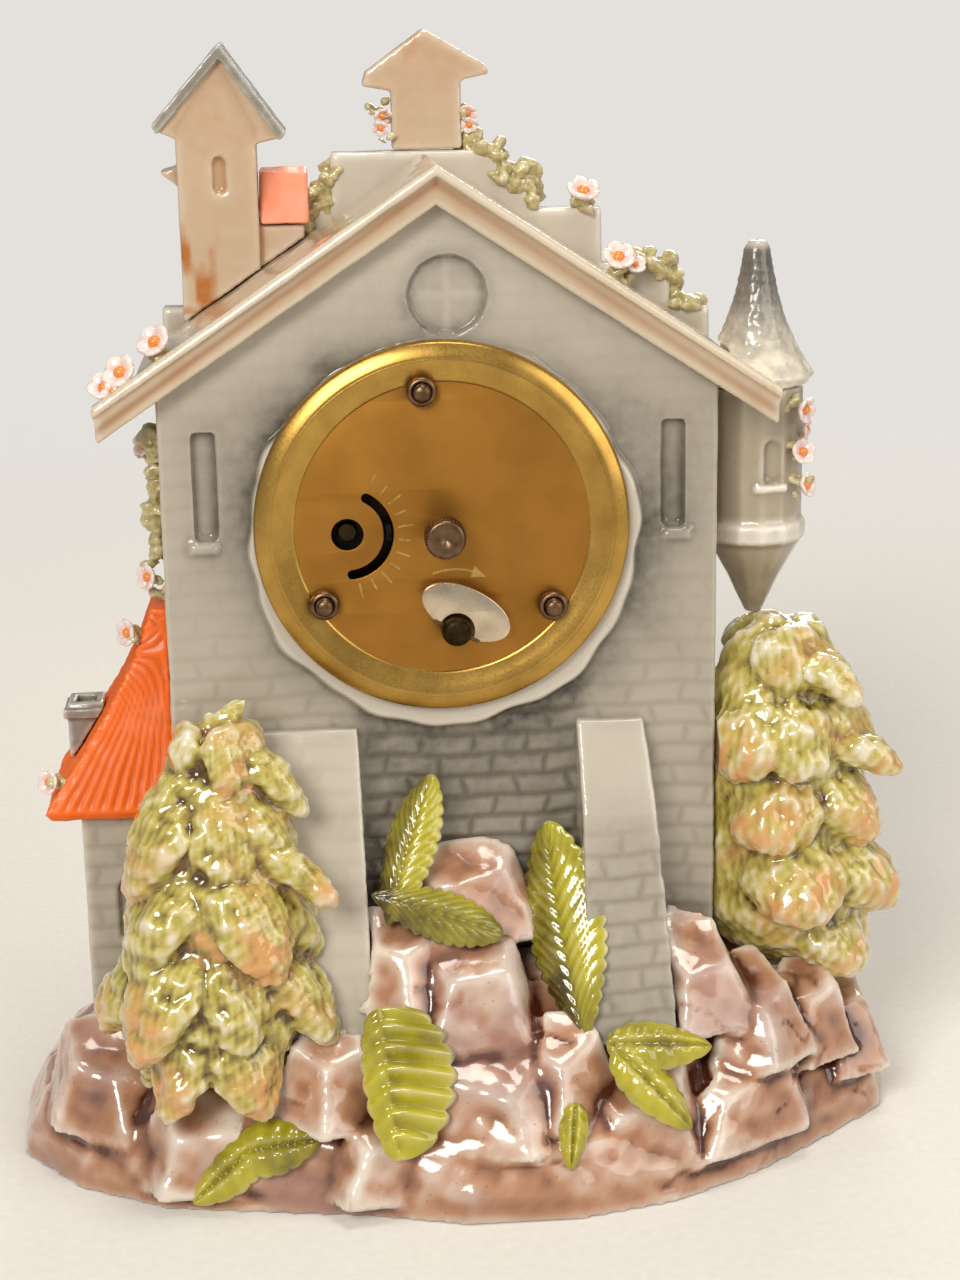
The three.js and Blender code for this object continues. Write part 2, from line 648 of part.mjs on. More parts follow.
function fir(form, grow) {
  const foot = new THREE.Vector3(...form.foot);
  const tip = new THREE.Vector3(...form.tip);
  const stem = Array.from({ length: STEM_RINGS + 1 }, (_, i) => {
    const t = i / STEM_RINGS;
    const girth = STEM_SHARE * firGirth(t, form.fullness);
    const out = girth > 0 ? grow : 0;
    return Array.from({ length: STEM_SIDES }, (_, j) => {
      const angle = (2 * Math.PI * j) / STEM_SIDES;
      const across = (form.rx * girth + out) * Math.cos(angle);
      const deep = (form.ry * girth + out) * Math.sin(angle);
      return foot.clone().lerp(tip, t).add(new THREE.Vector3(across, deep, 0));
    });
  });
  const boughs = [];
  for (let tier = 0; tier < form.tiers; tier++) {
    const t = LOW_TIER + (TIER_SPAN * tier) / (form.tiers - 1);
    const girth = firGirth(t, form.fullness);
    const count = Math.max(4, Math.round(form.boughs * (0.5 + 0.5 * girth)));
    for (let k = 0; k < count; k++) {
      const number = form.seed + 11 * tier + k;
      const angle = (2 * Math.PI * (k + 0.5 * (tier % 2) + 0.5 * chance(number))) / count;
      const outward = new THREE.Vector3(Math.cos(angle), Math.sin(angle), 0);
      if (outward.x * form.wallward[0] + outward.y * form.wallward[1] > WALL_LIMIT) continue;
      const envelope = Math.hypot(form.rx * outward.x, form.ry * outward.y) * girth;
      const reach = envelope * (0.96 + 0.16 * chance(number + 0.3));
      const length = Math.max(BOUGH_LEAST, BOUGH_SHARE * reach);
      const wide = form.wide * (0.6 + 0.4 * girth) * (0.85 + 0.3 * chance(number + 0.6));
      const thick = form.thick * (0.6 + 0.4 * girth);
      const turned = new THREE.Euler(0, form.pitch, angle, "ZYX");
      const root = foot.clone().lerp(tip, t).addScaledVector(outward, reach - length);
      root.z += 0.5 * form.droop * thick;
      const rows = bough(length + grow, wide + 2 * grow, thick + 2 * grow, form.droop);
      boughs.push(skin(rows.map((row) => row.map((point) => point.applyEuler(turned).add(root))), true));
    }
  }
  return join(skin(stem, true), ...boughs);
}

// Leaves: almond blades with a raised rib and side veins, laid on the rock
const LEAF_STATIONS = 5;
const LEAF_ACROSS = 4;

function blade({ base, tip, up, width, arch, root }) {
  const from = new THREE.Vector3(...base);
  const along = new THREE.Vector3(...tip).sub(from);
  const normal = new THREE.Vector3(...up).normalize();
  const side = normal.clone().cross(along).normalize();
  const sheet = (u, v, top) => {
    const half = (width / 2) * Math.sin(Math.PI * Math.min(1, u) ** 0.8) ** 0.8;
    const vein = 0.5 * Math.cos(2 * Math.PI * (4.5 * u - 0.8 * Math.abs(v)));
    const lift = top ? arch * (1 - v * v) + vein * (1 - v * v) : -root * (1 - v * v);
    const fade = Math.sin(Math.PI * u) ** 0.5;
    const onRib = from.clone().addScaledVector(along, u);
    return onRib.addScaledVector(side, half * v).addScaledVector(normal, lift * fade);
  };
  const rows = Array.from({ length: LEAF_STATIONS + 1 }, (_, i) => {
    const u = i / LEAF_STATIONS;
    const across = Array.from({ length: LEAF_ACROSS }, (_, j) => -1 + (2 * j) / LEAF_ACROSS);
    return [...across.map((v) => sheet(u, v, true)), ...across.map((v) => sheet(u, -v, false))];
  });
  return skin(rows, true);
}

const BACKWARD = [0, -0.75, 0.66];
const LEAVES = {
  leaf_lower_left: [
    {
      base: [-39, -49, 13.6], tip: [-52.3, -51.8, 2.6], up: [-0.1, -0.85, 0.5],
      width: 10, arch: 2.6, root: 5,
    },
    {
      base: [-43.5, -49.2, 11.6], tip: [-27.6, -53, 15.2], up: [0, -0.85, 0.5],
      width: 11, arch: 2.6, root: 5,
    },
  ],
  leaf_centre: [
    {
      base: [-6.5, -47.2, 39], tip: [-12.1, -59, 13.8], up: BACKWARD,
      width: 18, arch: 3, root: 9,
    },
  ],
  fern_upper: [
    { base: [-13, -37, 52], tip: [-3, -25.5, 79], up: [-0.3, -0.85, 0.4], width: 8.5, arch: 2, root: 5 },
    {
      base: [-16, -36.5, 58.5], tip: [9.6, -38, 49.4], up: [-0.1, -0.8, 0.6],
      width: 8.5, arch: 2, root: 5,
    },
  ],
  fern_buttress: [
    {
      base: [24.5, -46, 30.5], tip: [21.5, -24.8, 68], up: [-0.5, -0.75, 0.3],
      width: 13, arch: 2, root: 6,
    },
  ],
  leaf_right: [
    {
      base: [28.2, -48.2, 29.8], tip: [49.1, -46.8, 27.9], up: [0, -0.7, 0.7],
      width: 10, arch: 2.2, root: 8,
    },
    {
      base: [29.5, -49.6, 29.7], tip: [44, -54.2, 14.2], up: [0.2, -0.75, 0.6],
      width: 10, arch: 2.2, root: 8,
    },
  ],
};

// Flowers: five dished petals round a bud, set along a short stem
const PETAL_STATIONS = 10;

function flower(place, facing, radius) {
  const rows = [[0, -0.35], [1, 0.12], [0, 0.3]].map(([reach, lift]) =>
    Array.from({ length: PETAL_STATIONS }, (_, j) => {
      const angle = (2 * Math.PI * j) / PETAL_STATIONS;
      const petal = reach === 1 && j % 2 ? 0.68 : reach;
      return new THREE.Vector3(petal * Math.cos(angle), petal * Math.sin(angle), lift).multiplyScalar(radius);
    }),
  );
  const turn = new THREE.Quaternion().setFromUnitVectors(
    new THREE.Vector3(0, 0, 1),
    new THREE.Vector3(...facing).normalize(),
  );
  const put = (p) => p.applyQuaternion(turn).add(new THREE.Vector3(...place));
  return skin(rows.map((row) => row.map(put)), true);
}

function stem(points, radius) {
  const path = new THREE.CatmullRomCurve3(points.map((p) => new THREE.Vector3(...p)));
  const section = polygon(ring(radius, 4));
  return solid(new THREE.ExtrudeGeometry(section, { steps: 2 * (points.length - 1), extrudePath: path }));
}

const POSIES = {
  flowers_roof_left: {
    stem: [[-64, -14, 155.5], [-60, -12, 158.5], [-52, -10, 164]],
    blooms: [[-64.5, -15, 156.5, 4.4], [-59.5, -13, 160, 4.8], [-53, -11, 164.5, 4.6]],
    facing: [-0.4, -0.5, 0.75],
  },
  flowers_gable_right: {
    stem: [[31.5, 18, 186], [37.4, 14.6, 184], [40, 16, 176]],
    blooms: [[31.5, 18, 187.6, 4.6], [39.6, 15.6, 176.6, 4.6]],
    facing: [0.2, -0.6, 0.75],
  },
  flowers_turret: {
    stem: [[70.8, -11.8, 145], [71.8, -11.2, 138], [70.8, -11.8, 130]],
    blooms: [[71.2, -12, 145.5, 3.4], [72.4, -11.2, 138, 3.2], [71.4, -12, 130.5, 3.4]],
    facing: [0.75, -0.6, 0.1],
  },
  flowers_bell_cote: {
    stem: [[-9.4, 20, 200.5], [-7.6, 24.2, 199], [0.8, 24.4, 198], [9.4, 24.2, 199], [11, 20, 201]],
    blooms: [[-9.6, 19.4, 201.4, 3.8], [11.4, 19.4, 202, 3.8]],
    facing: [0, -0.9, 0.4],
  },
};

function posy({ stem: line, blooms, facing }) {
  return join(stem(line, 1.1), ...blooms.map(([x, y, z, r]) => flower([x, y, z], facing, r)));
}

// The house and everything cast or set round it
const house = houseBlock(GAP);
const roofCut = roofForm(GAP);
const facadeCut = facadeForm(GAP);
const grown = (low, high) => [low - GAP, high + GAP];
const leanCut = box(...grown(LEAN.x0, LEAN.x1), ...grown(LEAN.y0, LEAN.y1), ...grown(LEAN.foot, LEAN.top));
const leanRoofCut = leanToRoof(GAP);
const buttressCuts = Object.values(BUTTRESSES).map((form) => buttress(form, GAP));
const rockCut = rockForm(GAP);
const turretCut = turretForm(GAP);

piece("house_shell", houseShell(), WALL_GLAZE);
piece("roof", roofForm(0), CREAM_GLAZE);
piece("facade", facade(), WALL_GLAZE);
piece("front_door", frontDoor(), ORANGE_GLAZE);
piece("bell_tower", bellTower(house, roofCut, facadeCut), CREAM_GLAZE);
piece("bell_tower_roof", bellTowerRoof(), GREY_GLAZE);
piece("annex_roof", annexRoof(facadeCut), ORANGE_GLAZE);
piece("bell_cote", bellCote(), CREAM_GLAZE);
piece("turret", turret(house, roofCut, facadeCut), CREAM_GLAZE);
piece("turret_roof", turretRoof(house, roofCut, facadeCut), GREY_GLAZE);
piece("lean_to", leanTo(leanRoofCut), WALL_GLAZE);
piece("lean_to_roof", leanToRoof(0), ORANGE_GLAZE);
piece("lean_to_chimney", chimney(leanRoofCut), GREY_GLAZE);
for (const [name, form] of Object.entries(BUTTRESSES)) {
  piece(name, buttress(form, 0), WALL_GLAZE);
}

const vent = upright([[0, -1], [VENT.r, -1], [VENT.r, FLOOR_Z + 2], [0, FLOOR_Z + 2]], VENT.x, VENT.y, SMALL);
const steps = FRONT_STEPS.map(([half, near, far, z]) => box(-half, half, near, far, 2, z));
const doorway = box(-DOOR.half - GAP, DOOR.half + GAP, FRONT_Y, FRONT_Y + 2.5, DOOR.z0 - GAP, 80);
const rock = mainBody(cut(join(rockForm(0), ...steps), house, leanCut, ...buttressCuts, vent, doorway));
piece("rock_base", rock, ROCK_GLAZE);

const stepCuts = FRONT_STEPS.map(([half, near, far, z]) =>
  box(...grown(-half, half), near, far + GAP, 2, z + GAP),
);
const firCuts = [];
for (const [name, form] of Object.entries(FIRS)) {
  const neighbours = [house, leanCut, leanRoofCut, rockCut, turretCut, ...buttressCuts, ...stepCuts];
  piece(name, mainBody(cut(fir(form, 0), ...neighbours)), TREE_GLAZE);
  firCuts.push(fir(form, GAP));
}
for (const [name, blades] of Object.entries(LEAVES)) {
  const whole = join(...blades.map(blade));
  piece(name, mainBody(cut(whole, rockCut, house, ...buttressCuts, ...firCuts)), LEAF_GLAZE);
}
const cotePlan = [...grown(COTE.x0, COTE.x1), ...grown(FACADE_BACK_Y, FRONT_Y)];
const coteCut = box(...cotePlan, ...grown(COTE.foot, COTE.peak));
for (const [name, form] of Object.entries(POSIES)) {
  const neighbours = [house, roofCut, facadeCut, turretCut, coteCut, ...firCuts];
  piece(name, mainBody(cut(posy(form), ...neighbours)), PINK_GLAZE);
}

// Toothed outlines, on the dial plane: pointed teeth on the wheels, deep-cut leaves on the pinions
const ADDENDUM = 0.75;
const DEDENDUM = 1.15;
const LEAF_ADDENDUM = 0.6;
const LEAF_DEDENDUM = 1.5;

const polar = (r, angle, [u, v]) => [u + r * Math.cos(angle), v + r * Math.sin(angle)];
const raised = (points) => points.map(onDial);

function wheelOutline({ teeth, module }, phase, place) {
  const r = (module * teeth) / 2;
  const pitch = (2 * Math.PI) / teeth;
  return Array.from({ length: teeth }, (_, i) => phase + i * pitch).flatMap((a) => [
    polar(r + ADDENDUM * module, a, place),
    polar(r - DEDENDUM * module, a + pitch / 2, place),
  ]);
}

function pinionOutline({ leaves, module }, phase, place) {
  const r = (module * leaves) / 2;
  const pitch = (2 * Math.PI) / leaves;
  return Array.from({ length: leaves }, (_, i) => phase + i * pitch).flatMap((a) => [
    polar(r + LEAF_ADDENDUM * module, a, place),
    polar(r - LEAF_DEDENDUM * module, a + pitch / 2, place),
  ]);
}

// Phase that sets a driven toothed piece with a gap on the line of centres where the driver has a tooth
function meshed(phase, drivingTeeth, drivenTeeth, from, to) {
  const line = Math.atan2(to[1] - from[1], to[0] - from[0]);
  return line + Math.PI - ((phase - line) * drivingTeeth) / drivenTeeth - Math.PI / drivenTeeth;
}

// Three open crossings between the boss and the rim of a wheel
function crossings({ teeth, module }, boss, place) {
  const rim = (module * teeth) / 2 - 3 * module;
  return [0, 1, 2].map((k) => {
    const start = 0.35 + (2 * Math.PI * k) / 3;
    const sweep = (2 * Math.PI) / 3 - 0.7;
    const outer = [0, 0.5, 1].map((t) => polar(rim, start + t * sweep, place));
    const inner = [0.5].map((t) => polar(boss, start + t * sweep, place));
    return raised([...outer, ...inner]);
  });
}

function wheel(mesh, phase, place, y, thick, boss) {
  const outline = raised(wheelOutline(mesh, phase, place));
  return alongY(withHoles(outline, boss ? crossings(mesh, boss, place) : []), y - thick / 2, y + thick / 2);
}

function pinion(mesh, phase, place, y0, y1) {
  return alongY(polygon(raised(pinionOutline(mesh, phase, place))), y0, y1);
}

const spacing = ({ teeth, leaves, module }) => (module * (teeth + leaves)) / 2;

// The point at two given distances from two others, to the left or right of the line between them
function meet(a, fromA, b, fromB, side) {
  const [dx, dy] = [b[0] - a[0], b[1] - a[1]];
  const far = Math.hypot(dx, dy);
  const along = (fromA ** 2 - fromB ** 2 + far ** 2) / (2 * far);
  const off = side * Math.sqrt(fromA ** 2 - along ** 2);
  return [a[0] + (dx * along - dy * off) / far, a[1] + (dy * along + dx * off) / far];
}

// Arbor places, from the centre outwards
const INTERMEDIATE_AT = meet(CENTRE, spacing(INTERMEDIATE), BARREL, spacing(GREAT), 1);
const THIRD_AT = polar(spacing(CENTRE_MESH), 58 * RAD, CENTRE);
const LEVER_AT = polar(9.2, 75 * RAD, BALANCE);
const ESCAPE_AT = polar(5.6, 40 * RAD, LEVER_AT);
const FOURTH_AT = meet(THIRD_AT, spacing(THIRD), ESCAPE_AT, spacing(FOURTH), -1);
const MINUTE_AT = polar(spacing(MINUTE_MESH), 200 * RAD, CENTRE);
const CLICK_AT = polar(8.6, 152 * RAD, BARREL);

// Wheel levels
const LEVEL = {
  hairspring: -17.2,
  balance: -15.2,
  escape: -12.6,
  fourth: -10,
  third: -7,
  centre: -4,
  second: -1,
  great: 2.1,
};
const WHEEL_THICK = 1;

// Plates: the pillars are riveted to the front plate, and their studs reach the dial and the cap nuts
const PIVOT_R = 0.55;
const PIVOT_HOLE_R = PIVOT_R + GAP;
const ARBOR_R = 0.7;
const BARREL_ARBOR_R = 1.5;
const CENTRE_ARBOR_R = 1;
const STUD_R = 1.4;
const PILLAR_R = 2;
const NUT_R = 2.9;
const NUT_THICK = 2.5;
const BOSS_R = 1.7;
const CURB_R = 4.7;
const CURB_PIN_R = 0.35;
const PIVOTS = [INTERMEDIATE_AT, THIRD_AT, FOURTH_AT, ESCAPE_AT, LEVER_AT, BALANCE];

function arcSlot(centre, r, width, from, to) {
  const arc = (radius, a, b, count) =>
    Array.from({ length: count + 1 }, (_, i) => polar(radius, (a + ((b - a) * i) / count) * RAD, centre));
  const cap = (angle, a, b) => {
    const middle = polar(r, angle * RAD, centre);
    return [0.25, 0.5, 0.75].map((t) => polar(width / 2, (a + (b - a) * t) * RAD, middle));
  };
  return raised([
    ...arc(r + width / 2, from, to, 10),
    ...cap(to, to, to + 180),
    ...arc(r - width / 2, to, from, 10),
    ...cap(from, from + 180, from + 360),
  ]);
}

const hole = (r, place, sides = PIN) => raised(ring(r, sides, place));

function backPlate() {
  const curbSlot = arcSlot(BALANCE, CURB_R, 1.5, REGULATOR_ANGLE + 180 - 78, REGULATOR_ANGLE + 180 + 52);
  const holes = [
    hole(CENTRE_ARBOR_R + GAP, CENTRE),
    hole(BARREL_ARBOR_R + GAP, BARREL, SMALL),
    hole(PIVOT_HOLE_R, CLICK_AT),
    ...PILLARS.map((place) => hole(STUD_R + GAP, place)),
    ...PIVOTS.filter((place) => place !== BALANCE).map((place) => hole(PIVOT_HOLE_R, place)),
    curbSlot,
  ];
  const sheet = alongY(withHoles(raised(ring(PLATE_R, MEDIUM + 4)), holes), ...BACK_PLATE_Y);
  const boss = rod(BOSS_R, BACK_PLATE_Y[0] - 3.4, BACK_PLATE_Y[0] + 0.5, BALANCE, SMALL);
  const pivot = rod(PIVOT_HOLE_R, BACK_PLATE_Y[0] - 1, BACK_PLATE_Y[1] + 1, BALANCE);
  return cut(join(sheet, boss), pivot);
}

function frontPlate() {
  const holes = [
    hole(CENTRE_ARBOR_R + GAP, CENTRE),
    hole(BARREL_ARBOR_R + GAP, BARREL, SMALL),
    hole(PIVOT_HOLE_R, MINUTE_AT),
    ...PIVOTS.map((place) => hole(PIVOT_HOLE_R, place)),
  ];
  const sheet = alongY(withHoles(raised(ring(PLATE_R, MEDIUM + 4)), holes), ...FRONT_PLATE_Y);
  const pillars = PILLARS.map((place) =>
    turned(
      [
        [0, CAP_FACE_Y - NUT_THICK - 1.5],
        [STUD_R, CAP_FACE_Y - NUT_THICK - 1.5],
        [STUD_R, BACK_PLATE_Y[1] + GAP],
        [PILLAR_R, BACK_PLATE_Y[1] + GAP],
        [PILLAR_R, FRONT_PLATE_Y[1] + 1],
        [STUD_R, FRONT_PLATE_Y[1] + 1],
        [STUD_R, FRONT_Y],
        [0, FRONT_Y],
      ],
      place,
      PIN,
    ),
  );
  return join(sheet, ...pillars);
}

// Rear cap: spun brass with a rolled rim, drilled for the studs, the key, the knob and the regulator
const KEY_HOLE_R = 2.6;
const KNOB_HOLE_R = 1.7;
const EYE_R = 3.08;

function rearCap() {
  const face = CAP_FACE_Y;
  const spun = turned(
    [
      [0, face],
      [29.4, face],
      [33, face - 0.8],
      [34.6, face - 0.3],
      [CAP_R, face + 1.8],
      [CAP_R - CAP_SHEET, face + 1.8],
      [33, face + 0.1],
      [29.6, face + CAP_SHEET],
      [0, face + CAP_SHEET],
    ],
    CENTRE,
    LARGE + 8,
  );
  const through = (outline) => alongY(polygon(outline), face - 1, face + 2);
  return cut(
    spun,
    ...PILLARS.map((place) => through(hole(STUD_R + GAP, place))),
    through(hole(KEY_HOLE_R, BARREL, SMALL)),
    through(hole(KNOB_HOLE_R, CENTRE, SMALL)),
    through(hole(EYE_R, BALANCE, MEDIUM)),
    through(arcSlot(BALANCE, SLOT_R, SLOT_WIDTH, ...SLOT_ARC)),
  );
}

function capNut(place) {
  const y0 = CAP_FACE_Y - GAP - NUT_THICK;
  const y1 = CAP_FACE_Y - GAP;
  const bore = STUD_R + GAP;
  return turned([[bore, y0], [NUT_R - 0.5, y0], [NUT_R, y0 + 0.5], [NUT_R, y1], [bore, y1]], place, PIN + 2);
}

// Winding work: barrel, mainspring, arbor, ratchet, click and the folding key
const ARBOR_IN_HUB = 1.6;
const DRUM_R = 9.9;
const DRUM_Y = [LEVEL.great - 0.6, 11.4];
const DRUM_WALL = 0.8;

function barrel() {
  const bore = BARREL_ARBOR_R + GAP;
  const drum = turned(
    [
      [bore, DRUM_Y[0]],
      [DRUM_R, DRUM_Y[0]],
      [DRUM_R, DRUM_Y[1]],
      [DRUM_R - DRUM_WALL, DRUM_Y[1]],
      [DRUM_R - DRUM_WALL, DRUM_Y[0] + 1.2],
      [bore, DRUM_Y[0] + 1.2],
    ],
    BARREL,
    MEDIUM,
  );
  const inside = hole(DRUM_R - 0.5, BARREL, MEDIUM);
  const teeth = withHoles(raised(wheelOutline(GREAT, 0, BARREL)), [inside]);
  return join(drum, alongY(teeth, DRUM_Y[0], DRUM_Y[0] + 1.2));
}

// A flat spiral strip, as an outline that runs out along one face and back along the other
function spiral(place, r0, r1, turns, strip, steps) {
  const face = (shift) =>
    Array.from({ length: steps + 1 }, (_, i) => {
      const t = i / steps;
      return polar(r0 + (r1 - r0) * t + shift, 2 * Math.PI * turns * t, place);
    });
  return polygon(raised([...face(strip / 2), ...face(-strip / 2).reverse()]));
}

const mainspring = () => alongY(spiral(BARREL, 2.3, 8.5, 3.5, 0.5, 28), DRUM_Y[0] + 1.6, DRUM_Y[1] - 0.6);

function barrelArbor() {
  const y0 = CAP_FACE_Y - ARBOR_IN_HUB;
  return turned(
    [
      [0, y0],
      [BARREL_ARBOR_R, y0],
      [BARREL_ARBOR_R, FRONT_PLATE_Y[1] - 0.2],
      [0, FRONT_PLATE_Y[1] - 0.2],
    ],
    BARREL,
    SMALL,
  );
}

const RATCHET_Y = [BACK_PLATE_Y[0] - 1.5, BACK_PLATE_Y[0] - 0.4];
const RATCHET_R = 5.2;

function ratchet() {
  const pitch = (2 * Math.PI) / RATCHET_TEETH;
  const teeth = Array.from({ length: RATCHET_TEETH }, (_, i) => i * pitch).flatMap((a) => [
    polar(RATCHET_R, a, BARREL),
    polar(RATCHET_R - 0.9, a + 0.12 * pitch, BARREL),
  ]);
  return alongY(withHoles(raised(teeth), [hole(BARREL_ARBOR_R + GAP, BARREL, SMALL)]), ...RATCHET_Y);
}

function click() {
  const nose = polar(RATCHET_R + 0.35, 108 * RAD, BARREL);
  const heel = polar(RATCHET_R + 1.7, 112 * RAD, BARREL);
  const arm = [
    nose,
    heel,
    polar(1.5, 60 * RAD, CLICK_AT),
    polar(1.5, 120 * RAD, CLICK_AT),
    polar(1.5, 180 * RAD, CLICK_AT),
    polar(1.5, 240 * RAD, CLICK_AT),
    polar(1.4, 320 * RAD, CLICK_AT),
  ];
  return join(
    alongY(polygon(raised(arm.reverse())), ...RATCHET_Y),
    rod(PIVOT_R, RATCHET_Y[0] + 0.2, BACK_PLATE_Y[1] - 0.2, CLICK_AT),
  );
}

const HUB_R = 2.9;
const HINGE_Y = CAP_FACE_Y - 3.4;
const KEY_PIN_R = 0.55;
const KEY_TILT = -28 * RAD;
const EAR_R = 1.15;
const EAR_LONG = 1.5;
const OVAL_SIDES = 22;
const WING = { long: 18.4, short: 9.4, thick: 0.9, notch: 6.5, hingeFromEdge: 0.75, notchDepth: 3.35 };

// A point on the key, from its distances along the hinge and across it
const onKey = (along, across) => {
  const [c, s] = [Math.cos(KEY_TILT), Math.sin(KEY_TILT)];
  return [BARREL[0] + along * c - across * s, BARREL[1] + along * s + across * c];
};

// A rod along the hinge line of the key, through the hub
function hingeRod(radius, from, to) {
  const line = new THREE.CylinderGeometry(radius, radius, to - from, PIN).rotateZ(-Math.PI / 2);
  const [x, z] = onDial(onKey((from + to) / 2, 0));
  return solid(line.rotateY(-KEY_TILT).translate(x, HINGE_Y, z));
}

function keyHub() {
  const foot = CAP_FACE_Y - GAP;
  const dome = [0, 25, 50, 72].map((a) => [HUB_R * Math.cos(a * RAD), HINGE_Y - HUB_R * Math.sin(a * RAD)]);
  const bore = BARREL_ARBOR_R + GAP;
  const depth = CAP_FACE_Y - ARBOR_IN_HUB - GAP;
  const profile = [[bore, foot], [HUB_R, foot], ...dome, [0, HINGE_Y - HUB_R], [0, depth], [bore, depth]];
  return cut(turned(profile, BARREL, MEDIUM), hingeRod(KEY_PIN_R + GAP, -4, 4));
}

function keyWing() {
  const { long, short, thick, notch, hingeFromEdge, notchDepth } = WING;
  const middle = short / 2 - hingeFromEdge;
  const oval = Array.from({ length: OVAL_SIDES }, (_, i) => {
    const a = (2 * Math.PI * i) / OVAL_SIDES;
    return onKey((long / 2) * Math.cos(a), middle + (short / 2) * Math.sin(a));
  });
  const gap = [[-notch / 2, -3], [notch / 2, -3], [notch / 2, notchDepth], [-notch / 2, notchDepth]];
  const plate = alongY(polygon(raised(oval)), HINGE_Y - thick / 2, HINGE_Y + thick / 2);
  const opening = alongY(polygon(raised(gap.map((p) => onKey(...p)))), HINGE_Y - 2, HINGE_Y + 2);
  const ear = notch / 2;
  const knuckles = [hingeRod(EAR_R, ear, ear + EAR_LONG), hingeRod(EAR_R, -ear - EAR_LONG, -ear)];
  return cut(join(cut(plate, opening), ...knuckles), hingeRod(KEY_PIN_R + GAP, -8, 8));
}

const keyPin = () => hingeRod(KEY_PIN_R, -WING.notch / 2 - 1.6, WING.notch / 2 + 1.6);

// Going train
const train = {
  second: meshed(0, GREAT.teeth, GREAT.leaves, BARREL, INTERMEDIATE_AT),
  centre: meshed(0, INTERMEDIATE.teeth, INTERMEDIATE.leaves, INTERMEDIATE_AT, CENTRE),
  third: meshed(0, CENTRE_MESH.teeth, CENTRE_MESH.leaves, CENTRE, THIRD_AT),
  fourth: meshed(0, THIRD.teeth, THIRD.leaves, THIRD_AT, FOURTH_AT),
  escape: meshed(0, FOURTH.teeth, FOURTH.leaves, FOURTH_AT, ESCAPE_AT),
};

function arbor(place) {
  const [y0, y1] = [BACK_PLATE_Y[0] + 0.3, FRONT_PLATE_Y[1] - 0.3];
  const [s0, s1] = [BACK_PLATE_Y[1] + GAP, FRONT_PLATE_Y[0] - GAP];
  const rear = [[0, y0], [PIVOT_R, y0], [PIVOT_R, s0], [ARBOR_R, s0]];
  const front = [[ARBOR_R, s1], [PIVOT_R, s1], [PIVOT_R, y1], [0, y1]];
  return turned([...rear, ...front], place, PIN);
}

function trainWheel(place, driven, phase, pinionLevel, own, level) {
  return join(
    arbor(place),
    pinion(driven, phase, place, pinionLevel - 1.3, pinionLevel + 1.3),
    wheel(own, 0, place, level, WHEEL_THICK, 2.4),
  );
}

function centreWheel() {
  const tube = rod(1.65, BACK_PLATE_Y[1] + GAP, FRONT_PLATE_Y[0] - GAP, CENTRE, SMALL);
  const bore = rod(CENTRE_ARBOR_R + GAP, BACK_PLATE_Y[0], FRONT_PLATE_Y[1], CENTRE, SMALL);
  const leaves = pinion(INTERMEDIATE, train.centre, CENTRE, LEVEL.second - 1.3, LEVEL.second + 1.3);
  return cut(join(tube, leaves, wheel(CENTRE_MESH, 0, CENTRE, LEVEL.centre, WHEEL_THICK, 3)), bore);
}

// Escapement: club-toothed wheel, pin-pallet lever, and a sprung balance
const ESCAPE_R = 4.5;

function escapeWheel() {
  const pitch = (2 * Math.PI) / ESCAPE_TEETH;
  const teeth = Array.from({ length: ESCAPE_TEETH }, (_, i) => i * pitch).flatMap((a) => [
    polar(ESCAPE_R - 1.3, a - 0.45 * pitch, ESCAPE_AT),
    polar(ESCAPE_R, a, ESCAPE_AT),
  ]);
  const disc = alongY(polygon(raised(teeth)), LEVEL.escape - 0.4, LEVEL.escape + 0.4);
  const leaves = pinion(FOURTH, train.escape, ESCAPE_AT, LEVEL.fourth - 1.2, LEVEL.fourth + 1.3);
  return join(arbor(ESCAPE_AT), disc, leaves);
}

function palletLever() {
  const toBalance = Math.atan2(BALANCE[1] - LEVER_AT[1], BALANCE[0] - LEVER_AT[0]);
  const toEscape = Math.atan2(ESCAPE_AT[1] - LEVER_AT[1], ESCAPE_AT[0] - LEVER_AT[0]);
  const at = (along, across) => polar(across, toBalance + Math.PI / 2, polar(along, toBalance, LEVER_AT));
  const horns = [at(6.8, -1.1), at(6.8, -0.45), at(6, 0), at(6.8, 0.45), at(6.8, 1.1)];
  const stalk = [at(0, -0.8), at(5.4, -0.5), ...horns, at(5.4, 0.5), at(0, 0.8)];
  const arms = [-1, 1].map((side) => {
    const end = polar(3.9, toEscape + side * 78 * RAD, LEVER_AT);
    const by = (degrees) => toEscape + side * degrees * RAD;
    const beam = [polar(0.9, by(-20), LEVER_AT), polar(0.9, by(170), LEVER_AT)];
    const tip = [polar(0.45, by(160), end), polar(0.45, by(-20), end)];
    const outline = side > 0 ? [beam[0], tip[1], tip[0], beam[1]] : [beam[1], tip[0], tip[1], beam[0]];
    const pin = rod(0.28, LEVEL.escape - 0.4, LEVEL.escape + 1, end, 5);
    return join(alongY(polygon(raised(outline)), LEVEL.escape - 0.4, LEVEL.escape + 0.4), pin);
  });
  const body = alongY(polygon(raised(stalk)), LEVEL.escape - 0.4, LEVEL.escape + 0.4);
  return join(arbor(LEVER_AT), body, ...arms);
}

const BALANCE_R = 7.2;

